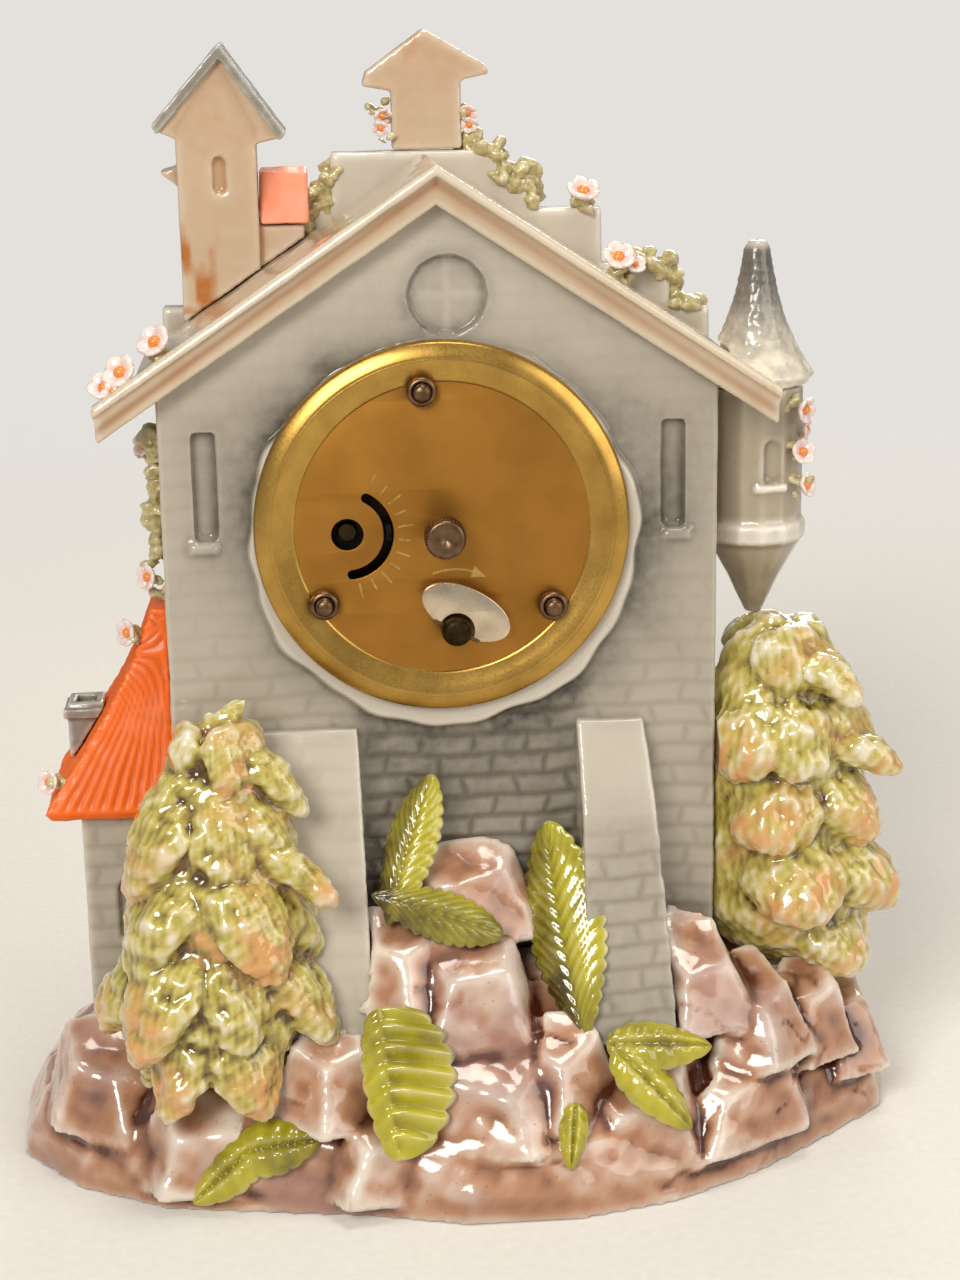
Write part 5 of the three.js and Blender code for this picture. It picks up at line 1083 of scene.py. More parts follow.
class CLOCK_OT_firs(ClockOperator, bpy.types.Operator):
    """Two firs of drooping boughs with brushed ridges, yellow green with peach tips"""

    bl_idname = "clock.firs"
    bl_label = "Firs"

    # Foot and tip of the stem, how far the boughs reach, their form, the wall behind and loose sprays
    firs = {
        "fir_tree_left": {
            "foot": (-47, -43, 23), "tip": (-44.4, -33, 96), "reach": (26, 18), "fullness": 3.4,
            "wide": 20, "thick": 13, "droop": 0.8, "pitch": 0.3, "seed": 5, "pale": 0.43,
            "wallward": (0, 1, 0), "axis": 1, "limit": -22.4,
            "sprays": (
                ((-42, -36, 88), -0.2, (17, 10, 8), 0.3), ((-40, -41, 72), -0.3, (21, 9, 7), 0.3),
                ((-46, -37, 85), 3.3, (17, 10, 8), 0.3), ((-44.4, -33.5, 89), 0.0, (10, 5.5, 5.5), -1.45),
            ),
        },
        "fir_tree_right": {
            "foot": (70, -12, 30), "tip": (66, -11, 106), "reach": (24.5, 21), "fullness": 5.0,
            "wide": 24, "thick": 15, "droop": 0.35, "pitch": 0.1, "seed": 9, "pale": 0.51,
            "wallward": (-1, 0, 0), "axis": 0, "limit": 53.9,
            "sprays": (((68, -14, 99), -0.6, (20, 12, 8), 0.35), ((68, -14, 84), -0.35, (27, 12, 8), 0.25)),
        },
    }
    tiers, most = 5, 6
    low_tier, tier_span = 0.1, 0.78
    taper, needles = 0.3, 8.0
    rings, sides, stem_share = 10, 20, 0.7

    def execute(self, context):
        scene, made = context.scene, finishes(context.scene)
        glaze = made["glazed_fir"]
        tree = bough_tree()
        for node, form in self.firs.items():
            boughs = self.boughs(form)
            roots, angles, spans, pitches, _ = zip(*boughs)
            turns = [(0.0, pitch, angle + math.pi) for angle, pitch in zip(angles, pitches)]
            piece = point_cloud(node + "_glazed", roots, turn=turns, size=np.array(spans) * MM)
            grown(piece, tree, Segments=20, Rings=14, Droop=form["droop"], Taper=self.taper, Finish=glaze)
            joined(piece, self.stem(form))
            remeshed(piece, scene.clock_sizes.fir_cell)
            self.dress(piece, form, boughs)
            seat(piece, glaze, "tree_glaze", node)
        return {"FINISHED"}

    def girth(self, t, form):
        return min(1, math.sqrt(t / 0.16)) * (1 - t ** form["fullness"]) ** 0.7

    def boughs(self, form):
        """Root, turn, size, pitch and number of every bough, without those that face the wall."""
        foot, tip = np.array(form["foot"], float), np.array(form["tip"], float)
        across, deep = form["reach"]
        found = []
        for tier in range(self.tiers):
            t = self.low_tier + self.tier_span * tier / (self.tiers - 1)
            girth = self.girth(t, form)
            count = max(4, math.floor(self.most * (0.5 + 0.5 * girth) + 0.5))
            for k in range(count):
                number = form["seed"] + 11 * tier + k
                angle = 2 * math.pi * (k + 0.5 * (tier % 2) + 0.5 * draw(number)) / count
                outward = np.array([math.cos(angle), math.sin(angle), 0.0])
                if outward @ np.array(form["wallward"]) > 0.6:
                    continue
                envelope = math.hypot(across * outward[0], deep * outward[1]) * girth
                reach = envelope * (0.96 + 0.16 * draw(number + 0.3))
                length = max(10.0, 0.85 * reach)
                swell = 0.6 + 0.4 * girth
                wide = form["wide"] * swell * (0.85 + 0.3 * draw(number + 0.6))
                thick = form["thick"] * swell
                root = foot + (tip - foot) * t + outward * (reach - length)
                root[2] += 0.5 * form["droop"] * thick
                found.append((root, angle, np.array([length, wide, thick]), form["pitch"], number))
        for number, (root, angle, size, pitch) in enumerate(form["sprays"], form["seed"] + 101):
            found.append((np.array(root, float), angle, np.array(size, float), pitch, number))
        return found

    def stem(self, form):
        """A plain body under the boughs."""
        foot, tip = np.array(form["foot"], float), np.array(form["tip"], float)
        across, deep = form["reach"]
        points = []
        for i in range(self.rings + 1):
            t = 0.01 + 0.98 * i / self.rings
            for j in range(self.sides):
                angle = 2 * math.pi * j / self.sides
                side = np.array([across * math.cos(angle), deep * math.sin(angle), 0.0])
                points.append(foot + (tip - foot) * t + self.stem_share * self.girth(t, form) * side)
        count = self.rings * self.sides
        ends = [tuple(range(self.sides))[::-1], tuple(range(count, count + self.sides))]
        return shaped("stem", points, tube_faces(self.rings + 1, self.sides) + ends)

    def dress(self, piece, form, boughs):
        """Softens the boughs, brushes ridges that fan out along each one and paints hollows, pooled glaze
        with painted shade, and tips.
        """
        surface = Surface(piece)
        surface.relax(2)
        nearest = np.full(surface.count, np.inf)
        along, fan, chosen = (np.zeros(surface.count) for _ in range(3))
        for root, angle, size, pitch, number in boughs:
            cosine, sine = math.cos(pitch), math.sin(pitch)
            x, y, z = (surface.points - root).T
            ahead = x * math.cos(angle) + y * math.sin(angle)
            s = (ahead * cosine - z * sine) / size[0]
            narrowed = size[1] * np.maximum(1 - self.taper * s, 0.4)
            side = (y * math.cos(angle) - x * math.sin(angle)) / narrowed
            level = (ahead * sine + z * cosine) / size[2] + form["droop"] * s * s
            away = np.sqrt((s - 0.5) ** 2 + side**2 + level**2)
            nearer = away < nearest
            nearest[nearer] = away[nearer]
            along[nearer] = s[nearer]
            fan[nearer] = (side / (0.35 + 0.65 * np.clip(s, 0, 1.2)))[nearer]
            chosen[nearer] = draw(number + 0.9)
        seed = form["seed"]
        wander = 0.04 * waves(surface.points, 12.0, seed)
        ridge = np.cos(2 * math.pi * self.needles * (fan + wander))
        outer = rises(0.1, 0.45, along)
        lumps = 0.7 * waves(surface.points, 9.0, seed + 1) + 0.3 * waves(surface.points, 4.4, seed + 3)
        surface.push(0.05 * outer * ridge + lumps)
        axis, limit = form["axis"], form["limit"]
        bound = np.minimum if limit < 0 else np.maximum
        surface.points[:, axis] = bound(surface.points[:, axis], limit)
        # Olive in the broad hollows between the boughs: pooled glaze and painted shade
        hollows = 2.9 * (surface.tone(24, 2.6) - 0.5) + 0.5 * (surface.tone(4, 0.6) - 0.5)
        surface.paint("tone", form["pale"] + hollows + 0.04 * ridge * outer)
        tips = rises(0.6, 0.95, along) * rises(0.3, 0.5, chosen)
        patches = 0.34 * rises(0.15, 0.8, waves(surface.points, 13.0, seed + 4))
        surface.paint("tint", tips * (0.5 + 0.7 * waves(surface.points, 5.0, seed + 2)) + patches)


class CLOCK_OT_leaves(ClockOperator, bpy.types.Operator):
    """Leaves and ferns laid on the rock: folded leaves, one ridged fan and veined ferns"""

    bl_idname = "clock.leaves"
    bl_label = "Leaves"

    stations, ribs = 120, 24
    backward = (0, -0.75, 0.66)
    # Depth of the jags, height and sweep of the veins, depth and lean of the rib, and the outline's curve
    traits = ("jag", "vein", "sweep", "rib", "lean", "full", "belly")
    kinds = {
        "fern": (0.13, 0.2, 3.5, 0.7, 0.0, 0.6, 1.15),
        "leaf": (0.1, 0.24, 0.5, 1.6, 0.0, 0.6, 0.72),
        "fan": (0.13, 0.7, 0.6, 0.4, 0.42, 0.42, 0.85),
    }
    crown, underside = 2.6, 4.0
    # Kind, base, tip, way up, width and lobes of each blade
    leaves = {
        "leaf_lower_left": (
            ("leaf", (-39, -49, 13.6), (-52.3, -51.8, 2.6), (-0.1, -0.85, 0.5), 10.5, 5),
            ("leaf", (-43.5, -49.2, 11.6), (-27.6, -53, 15.2), (0, -0.85, 0.5), 11.5, 5),
        ),
        "leaf_centre": (("fan", (-15.0, -47.6, 39.8), (-12.6, -59.6, 13.4), backward, 18.5, 7),),
        "fern_upper": (
            ("fern", (-13, -37, 52), (-3, -25.5, 79), (-0.3, -0.85, 0.4), 11, 12),
            ("fern", (-16, -36.5, 58.5), (9.6, -38, 49.4), (-0.1, -0.8, 0.6), 11, 12),
        ),
        "fern_buttress": (("fern", (24.5, -46, 30.5), (19.6, -24.8, 68), (-0.5, -0.75, 0.3), 18, 15),),
        "leaf_right": (
            ("leaf", (28.2, -48.2, 29.8), (49.1, -46.8, 27.9), (0, -0.7, 0.7), 10.5, 6),
            ("leaf", (29.5, -49.6, 29.7), (44, -54.2, 14.2), (0.2, -0.75, 0.6), 10.5, 6),
        ),
        "leaf_small": (("leaf", (21.4, -55, 21.5), (19.8, -60.4, 10), backward, 6, 4),),
    }

    def execute(self, context):
        made = finishes(context.scene)
        glaze = made["glazed_leaf"]
        for name, blades in self.leaves.items():
            first, *rest = [self.blade(name + "_glazed", *blade) for blade in blades]
            piece = joined(first, *rest)
            surface = Surface(piece)
            surface.paint("tone", surface.tone(6, 0.55))
            kind, base, tip, up = blades[0][:4]
            along = np.array(tip, float) - base
            offset = (surface.points - base) @ np.cross(up, along) / np.linalg.norm(along)
            ahead = (surface.points - base) @ along / (along @ along)
            shade = 0.1 + 0.3 * rises(0.45, 0.0, ahead)
            if kind == "fern":
                shade = 0.6 * rises(-0.8, 1.2, offset) + 0.6 * rises(0.5, 0.05, ahead)
            surface.paint("tint", shade + 0.3 * waves(surface.points, 12.0, 12))
            seat(piece, glaze, "leaf_glaze", *([name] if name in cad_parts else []))
        return {"FINISHED"}

    def blade(self, name, kind, base, tip, up, width, lobes):
        """A closed blade: veins run forward from the rib to the tip of each lobe."""
        form = dict(zip(self.traits, self.kinds[kind]))
        along = np.array(tip, float) - base
        normal = np.array(up, float) / np.linalg.norm(up)
        side = np.cross(normal, along)
        side /= np.linalg.norm(side)
        u = np.linspace(0, 1, self.stations + 1)[:, None]
        over = np.linspace(-1, 1, self.ribs + 1)
        v = np.concatenate([over, over[-2:0:-1]])[None, :]
        top = np.arange(v.size)[None, :] <= self.ribs
        uneven = np.array([[0.6 + 0.6 * draw(lobe + width)] for lobe in np.floor(lobes * u)[:, 0]])
        beat = (1 - np.abs(np.sin(math.pi * lobes * u))) * uneven
        outline = np.abs(np.sin(math.pi * u ** form["belly"])) ** form["full"]
        jagged = 1 - form["jag"] * beat * np.abs(v) ** 3
        half = width / 2 * outline * (1 + form["lean"] * np.sign(v)) * jagged
        vein = form["vein"] * np.cos(2 * math.pi * (lobes * u - form["sweep"] * np.abs(v))) * (1 - v**4)
        vein = vein * (1 + 0.8 * form["lean"] * np.sign(v))
        fade = np.sin(math.pi * u) ** 0.4
        crown = self.crown * (1 - v * v) + vein - form["rib"] * hump(v, 0.16)
        lift = np.where(top, crown, -self.underside * (1 - v * v)) * fade
        points = base + u[..., None] * along + (half * v)[..., None] * side + lift[..., None] * normal
        return reshaped(shaped(name, points.reshape(-1, 3), tube_faces(*points.shape[:2])), close)


def flower_tree():
    """Geometry nodes: a cup of petals round a heart, turned to face out, on every point of the base."""
    tree, given = new_tree(
        "blooms",
        Petals="Int",
        Petal_Length="Float",
        Cup="Float",
        Petal_Finish="Material",
        Heart_Finish="Material",
    )
    count, length = given["Petals"], given["Petal Length"]
    ball = add(tree, "GeometryNodeMeshUVSphere", {"Segments": 10, "Rings": 7, "Radius": 0.5})
    flat = {"Geometry": ball, "Translation": (0.52, 0.0, 0.0), "Scale": (1.0, 0.95, 0.34)}
    dish = add(tree, "GeometryNodeTransform", flat)
    cup = add(tree, "ShaderNodeMath", {0: given["Cup"], 1: -1.0}, operation="MULTIPLY")
    tilt = add(tree, "ShaderNodeCombineXYZ", {"Y": cup})
    size = add(tree, "ShaderNodeCombineXYZ", {"X": length, "Y": length, "Z": length})
    petal = add(tree, "GeometryNodeTransform", {"Geometry": dish, "Rotation": tilt, "Scale": size})
    ring = add(tree, "GeometryNodeMeshLine", {"Count": count, "Offset": (0.0, 0.0, 0.0)})
    step = add(tree, "ShaderNodeMath", {0: 2 * math.pi, 1: count}, operation="DIVIDE")
    number = add(tree, "GeometryNodeInputIndex")
    spin = add(tree, "ShaderNodeMath", {0: number, 1: step}, operation="MULTIPLY")
    turn = add(tree, "FunctionNodeEulerToRotation", {0: add(tree, "ShaderNodeCombineXYZ", {"Z": spin})})
    spread = {"Points": ring, "Instance": petal, "Rotation": turn, "Scale": (1.0, 1.0, 1.0)}
    petals = add(tree, "GeometryNodeInstanceOnPoints", spread)
    bud = add(tree, "ShaderNodeMath", {0: length, 1: 0.32}, operation="MULTIPLY")
    heart = add(tree, "GeometryNodeMeshIcoSphere", {"Radius": bud, "Subdivisions": 2})
    lift = add(tree, "ShaderNodeCombineXYZ", {"Z": bud})
    heart = add(tree, "GeometryNodeTransform", {"Geometry": heart, "Translation": lift})
    bloom = add(tree, "GeometryNodeJoinGeometry")
    for shape, finish in ((petals, "Petal Finish"), (heart, "Heart Finish")):
        painted = add(tree, "GeometryNodeSetMaterial", {"Geometry": shape, "Material": given[finish]})
        tree.links.new(painted.outputs[0], bloom.inputs[0])
    facing = add(tree, "GeometryNodeInputNamedAttribute", {"Name": "facing"}, data_type="FLOAT_VECTOR")
    swell = add(tree, "GeometryNodeInputNamedAttribute", {"Name": "swell"}, data_type="FLOAT_VECTOR")
    aim = add(tree, "FunctionNodeAlignRotationToVector", {"Vector": facing}, axis="Z")
    posy = {"Points": given["Geometry"], "Instance": bloom, "Rotation": aim, "Scale": swell}
    placed = add(tree, "GeometryNodeInstanceOnPoints", posy)
    add(tree, "NodeGroupOutput", {0: add(tree, "GeometryNodeRealizeInstances", {0: placed})})
    return tree


class CLOCK_OT_flowers(ClockOperator, bpy.types.Operator):
    """Posies of five-petalled blooms in beds of small leaves, and moss along the crow steps"""

    bl_idname = "clock.flowers"
    bl_label = "Flowers"

    # Way that the blooms of a posy face, then the place and size of each one
    posies = {
        "flowers_roof_left": (
            (-0.35, -0.6, 0.7),
            (-62.3, -22.3, 155.6, 1.15), (-58.9, -21.6, 158.4, 1.25), (-52.4, -18.6, 163.4, 1.25),
            (-60.6, -24.2, 155.4, 0.8),
        ),
        "flowers_gable_right": (
            (0.15, -0.65, 0.7),
            (32.0, 16.6, 186.2, 1.25), (38.4, 10.6, 173.8, 1.2), (41.6, 11.6, 172.2, 0.9),
        ),
        "flowers_turret": (
            (0.72, -0.68, 0.1),
            (71.6, -11.6, 146.6, 0.95), (71.8, -11.0, 137.6, 0.95), (72.2, -11.2, 131.0, 0.9),
            (72.4, -9.0, 142.2, 0.75),
        ),
        "flowers_bell_cote": (
            (0, -0.8, -0.4),
            (-8.0, 17.6, 203.4, 0.7), (-8.2, 17.4, 200.8, 0.6), (9.2, 17.6, 203.6, 0.7),
            (9.4, 17.4, 201.0, 0.6),
        ),
        "flowers_wall_left": (
            (-0.75, -0.6, 0.2),
            (-56.2, -12, 143.4, 0.8), (-56.4, -12, 117.2, 0.95), (-60.8, -13, 106.4, 1.0),
            (-77.6, -17.5, 77.6, 0.9),
        ),
        "flowers_fir_right": ((0.4, -0.75, 0.5), (75.6, -17.5, 95.6, 0.9), (79.0, -15.0, 92.6, 0.7)),
    }
    # Ends of each run of moss, corner by corner
    edging = (
        ((-24.0, 17.5, 179.0), (-23.6, 17.5, 186.6), (-19.0, 17.5, 187.4), (-18.8, 17.5, 195.4)),
        (
            (8.6, 17.5, 196.4), (15.2, 17.5, 196.2), (16.2, 17.5, 190.6), (21.2, 17.5, 190.2),
            (22.2, 17.5, 184.6),
        ),
        ((43.0, 17.0, 172.9), (49.6, 17.0, 172.7), (50.8, 17.0, 165.0), (57.0, 17.0, 163.9)),
        ((-54.6, -13.0, 146.0), (-54.8, -12.5, 120.0)),
    )
    moss_step, moss_size = 1.5, (5.6, 4.6, 3.0)
    bed_size, bed_leaves, crust_cell = (4.6, 3.0, 1.9), 4, 0.45
    cup = math.radians(36)

    def execute(self, context):
        scene, made = context.scene, finishes(context.scene)
        sizes = scene.clock_sizes
        tree, leaf = flower_tree(), bough_tree()
        for node, (facing, *blooms) in self.posies.items():
            random = np.random.default_rng(len(node))
            places, swell = np.array(blooms)[:, :3], np.array(blooms)[:, 3:]
            facings = np.array(facing) + random.normal(scale=0.16, size=places.shape)
            piece = point_cloud(
                node + "_glazed", places, facing=facings * np.sign(BENCH), swell=np.repeat(swell, 3, axis=1)
            )
            grown(
                piece,
                tree,
                Petals=sizes.petals,
                Petal_Length=sizes.petal,
                Cup=self.cup,
                Petal_Finish=made["glazed_petal_pink"],
                Heart_Finish=made["glazed_heart_orange"],
            )
            self.glaze(piece, None, "flower_glaze", 0.25, *([node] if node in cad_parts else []))
            beds = np.repeat(places - 1.5 * np.array(facing) * swell, self.bed_leaves, axis=0)
            beds += random.normal(scale=1.1, size=beds.shape)
            spans = np.array(self.bed_size) * np.repeat(swell, self.bed_leaves, axis=0)
            self.scatter(node + "_bed", beds, spans, leaf, made, random)
        for i, corners in enumerate(self.edging):
            random = np.random.default_rng(40 + i)
            places = np.concatenate([self.spaced(*ends) for ends in zip(corners, corners[1:])])
            places = np.concatenate([places, places + np.array([0.4, 2.4, 0.3])])
            spans = np.array(self.moss_size) * random.uniform(0.7, 1.15, size=(len(places), 1))
            places += random.normal(scale=0.45, size=places.shape)
            self.scatter(f"moss_edging_{i + 1}", places, spans, leaf, made, random)
        return {"FINISHED"}

    def spaced(self, start, end):
        start, end = np.array(start), np.array(end)
        count = max(2, round(np.linalg.norm(end - start) / self.moss_step))
        return start + (end - start) * np.linspace(0, 1, count, endpoint=False)[:, None]

    def scatter(self, name, places, spans, leaf, made, random):
        """Small leaves lying every way round their places."""
        turns = random.uniform(-0.8, 0.8, size=places.shape)
        turns[:, 2] = random.uniform(0, 2 * math.pi, len(places))
        outward = np.stack([np.cos(turns[:, 2]), np.sin(turns[:, 2]), np.zeros(len(places))], 1)
        middles = places + 0.5 * outward * spans[:, :1]
        piece = point_cloud(name, middles, turn=turns, size=spans * MM)
        grown(piece, leaf, Segments=8, Rings=6, Droop=0.3, Taper=0.4, Finish=made["glazed_moss"])
        surface = Surface(remeshed(piece, self.crust_cell * MM))
        surface.push(0.45 * waves(surface.points, 3.4, 5))
        surface.store()
        self.glaze(piece, made["glazed_moss"], "leaf_glaze", 0.5)

    def glaze(self, piece, material, slot, span, *nodes):
        surface = Surface(piece)
        surface.paint("tone", surface.tone(4, span))
        surface.paint("tint", 0.3 * rises(0, 1, waves(surface.points, 3.0, 4)))
        seat(piece, material, slot, *nodes)


def radial_tree():
    """Geometry nodes: bars round a centre, some of them shorter, for strokes, knurls and minute marks."""
    measures = ("Start", "Step", "Inner", "Length", "Shortened", "Every", "Width", "Height")
    floats = {title: "Float" for title in measures}
    tree, given = new_tree("radial_bars", Count="Int", **floats, Finish="Material")
    line = add(tree, "GeometryNodeMeshLine", {"Count": given["Count"], "Offset": (0.0, 0.0, 0.0)})
    number = add(tree, "GeometryNodeInputIndex")
    angle = {0: number, 1: given["Step"], 2: given["Start"]}
    angle = add(tree, "ShaderNodeMath", angle, operation="MULTIPLY_ADD")
    rest = add(tree, "ShaderNodeMath", {0: number, 1: given["Every"]}, operation="MODULO")
    odd = add(tree, "ShaderNodeMath", {0: rest, 1: 0.5}, operation="GREATER_THAN")
    loss = add(tree, "ShaderNodeMath", {0: odd, 1: given["Shortened"]}, operation="MULTIPLY")
    length = add(tree, "ShaderNodeMath", {0: given["Length"], 1: loss}, operation="SUBTRACT")
    middle = add(tree, "ShaderNodeMath", {0: length, 1: 0.5, 2: given["Inner"]}, operation="MULTIPLY_ADD")
    cosine = add(tree, "ShaderNodeMath", {0: angle}, operation="COSINE")
    sine = add(tree, "ShaderNodeMath", {0: angle}, operation="SINE")
    across = add(tree, "ShaderNodeMath", {0: cosine, 1: middle}, operation="MULTIPLY")
    upward = add(tree, "ShaderNodeMath", {0: sine, 1: middle}, operation="MULTIPLY")
    spot = add(tree, "ShaderNodeCombineXYZ", {"X": across, "Y": upward})
    spots = add(tree, "GeometryNodeSetPosition", {"Geometry": line, "Position": spot})
    size = add(tree, "ShaderNodeCombineXYZ", {"X": length, "Y": given["Width"], "Z": given["Height"]})
    bar = add(tree, "GeometryNodeMeshCube", {"Size": (1.0, 1.0, 1.0)})
    turn = add(tree, "FunctionNodeEulerToRotation", {0: add(tree, "ShaderNodeCombineXYZ", {"Z": angle})})
    ring = {"Points": spots, "Instance": bar, "Rotation": turn, "Scale": size}
    return finish_tree(tree, add(tree, "GeometryNodeInstanceOnPoints", ring), given["Finish"])


def bars(name, material, count, start, step, inner, length, width, height, shortened=0.0, every=1.0):
    """A ring of bars drawn flat, in millimetres and degrees."""
    return grown(
        link(name, bpy.data.meshes.new(name)),
        radial_tree(),
        Count=count,
        Start=math.radians(start),
        Step=math.radians(step),
        Inner=inner * MM,
        Length=length * MM,
        Shortened=shortened * MM,
        Every=every,
        Width=width * MM,
        Height=height * MM,
        Finish=material,
    )


def stand(obj, place, level, front=False):
    """Turns a piece drawn flat onto the back of the clock, or onto its front, its top to the viewer."""
    side = -1 if front else 1

    def move(shape):
        for vertex in shape.verts:
            u, v, w = vertex.co / MM
            vertex.co = np.array([side * (u + place[0]), level - side * w, v + place[1] + DIAL_Z]) / BENCH
        close(shape)

    return reshaped(obj, move)


def curve_mesh(name, curve):
    """The mesh of a curve or a text, as a new object."""
    holder = link(name + "_curve", curve)
    bpy.context.view_layer.update()
    evaluated = holder.evaluated_get(bpy.context.evaluated_depsgraph_get())
    mesh = bpy.data.meshes.new_from_object(evaluated)
    bpy.data.objects.remove(holder)
    return link(name, mesh)


def stamped(name, outlines, thick, edge=0.0):
    """A flat sheet drawn in millimetres: the first outline is its edge, and the others are cut out."""
    curve = bpy.data.curves.new(name, "CURVE")
    curve.dimensions = "2D"
    curve.fill_mode = "BOTH"
    curve.extrude = (thick / 2 - edge) * MM
    curve.bevel_depth = edge * MM
    curve.bevel_resolution = 2
    curve.offset = -edge * MM
    for outline in outlines:
        spline = curve.splines.new("POLY")
        spline.points.add(len(outline) - 1)
        spline.use_cyclic_u = True
        for point, (u, v) in zip(spline.points, outline):
            point.co = (u * MM, v * MM, 0.0, 1.0)
    return curve_mesh(name, curve)


def arc(radius, start, end, steps, place=(0.0, 0.0)):
    """Points along an arc, its angles in degrees."""
    turns = np.radians(np.linspace(start, end, steps))
    return [(place[0] + radius * math.cos(a), place[1] + radius * math.sin(a)) for a in turns]


def circle(radius, sides=48, place=(0.0, 0.0)):
    return arc(radius, 0, 360, sides + 1, place)[:-1]


def arc_slot(place, radius, width, start, end, steps=28):
    """A slot with round ends along an arc."""
    (far,), (near,) = arc(radius, end, end, 1, place), arc(radius, start, start, 1, place)
    return (
        arc(radius + width / 2, start, end, steps, place)
        + arc(width / 2, end, end + 180, 9, far)[1:-1]
        + arc(radius - width / 2, end, start, steps, place)
        + arc(width / 2, start + 180, start + 360, 9, near)[1:-1]
    )


def turned(name, profile, place=(0.0, 0.0), sides=96, level=CAP_FACE_Y, front=False):
    """A turned piece from a closed profile of radius and height in millimetres, on the back or front."""
    points = [
        (r * math.cos(a) * MM, r * math.sin(a) * MM, height * MM)
        for a in np.linspace(0, 2 * math.pi, sides, endpoint=False)
        for r, height in profile
    ]
    mesh = bpy.data.meshes.new(name)
    wrapped = points + points[: len(profile)]
    mesh.from_pydata(wrapped, [], tube_faces(sides + 1, len(profile)))
    return stand(link(name, mesh), place, level, front)


class CLOCK_OT_rear_cap(ClockOperator, bpy.types.Operator):
    """Spun brass cap with its dished rim, slot and eye, engraved scale and arrow, and the three nuts"""

    bl_idname = "clock.rear_cap"
    bl_label = "Rear cap"

    plate_radius, plate_thick = 29.8, 0.8
    stud_hole, key_hole, knob_hole, eye = 1.9, 2.6, 1.7, 3.08
    slot_radius, slot_width, slot_start, slot_end = 7.9, 1.86, -84.6, 61.7
    # Count, first angle, step, inner radius, length, width and height of the strokes
    strokes = (11, -78, 14.2, 9.8, 2.9, 0.36, 0.14)
    # Start, neck and point of the winding arrow, its radius and its half widths
    arrow_start, arrow_neck, arrow_point, arrow_radius = 112, 72, 58, 11.2
    arrow_line, arrow_barb = 0.2, 1.2
    thread_count, thread_pitch = 9, 0.45
    # A dished slope, a fine step, a flat bevel and the skirt behind it, as radius and height
    rim = (
        (28.2, 0.0), (28.8, 0.06), (30.6, 0.6), (32.4, 1.08), (32.75, 1.12), (32.95, 0.98), (33.1, 1.06),
        (33.3, 1.04), (35.4, 0.18), (35.75, -0.1), (36.0, -0.8), (36.0, -1.8), (35.3, -1.8), (35.3, -0.9),
        (34.6, -0.2), (33.0, 0.3), (31.6, 0.0), (30.4, -0.6), (28.2, -0.7),
    )
    nut_profile = (
        (1.8, 0.3), (2.6, 0.3), (2.85, 0.5), (2.85, 1.9), (2.6, 2.3), (2.1, 2.5), (1.8, 2.4),
    )

    def execute(self, context):
        made = finishes(context.scene)
        holes = [circle(self.stud_hole, 32, stud) for stud in STUDS]
        holes += [circle(self.key_hole, 40, BARREL), circle(self.knob_hole, 32)]
        holes += [circle(self.eye, 48, BALANCE)]
        holes += [arc_slot(BALANCE, self.slot_radius, self.slot_width, self.slot_start, self.slot_end)]
        plate = stamped("rear_cap_plate", [circle(self.plate_radius, 128), *holes], self.plate_thick, 0.1)
        stand(plate, (0, 0), CAP_FACE_Y + self.plate_thick / 2)
        seat(plate, made["lacquered_plate_brass"], "cap_brass", "rear_cap", sharp=40)
        seat(turned("rear_cap_rim", self.rim, sides=160), made["lacquered_brass"], "cap_brass", "rear_cap")
        self.engrave(made)
        for i, stud in enumerate(STUDS):
            self.nut(f"cap_nut_{i + 1}", stud, made["browned_steel"])
        return {"FINISHED"}

    def engrave(self, made):
        """Scale strokes along the regulator's slot and a curved winding arrow over the key."""
        bright = made["engraved_brass"]
        strokes = bars("regulator_scale", bright, *self.strokes, shortened=0.6, every=2.0)
        seat(stand(strokes, BALANCE, CAP_FACE_Y), None, "cap_brass", sharp=30)
        # A thin arc that ends in a plain head, clockwise as the key is turned
        start, neck, radius = self.arrow_start, self.arrow_neck, self.arrow_radius
        barbs = [arc(radius + side * self.arrow_barb, neck, neck, 1) for side in (1, -1)]
        head = barbs[0] + arc(radius, self.arrow_point, self.arrow_point, 1) + barbs[1]
        upper = arc(radius + self.arrow_line, start, neck, 16)
        lower = arc(radius - self.arrow_line, neck, start, 16)
        arrow = stand(stamped("winding_arrow", [upper + head + lower], 0.12), BARREL, CAP_FACE_Y)
        seat(arrow, bright, "cap_brass", sharp=30)

    def nut(self, name, stud, finish):
        """A round nut over the threaded end of its stud, both with soft edges."""
        seat(turned(name + "_turned", self.nut_profile, stud, 40), finish, "dark_steel", name)
        steps = [self.thread_pitch * i for i in range(self.thread_count)]
        threads = [point for up in steps for point in ((1.52, -0.4 + up), (1.68, -0.18 + up))]
        profile = [(0.0, -0.5), *threads, (1.5, 3.9), (1.1, 4.2), (0.0, 4.25)]
        seat(turned(name + "_stud", profile, stud, 28), finish, "dark_steel", sharp=50)


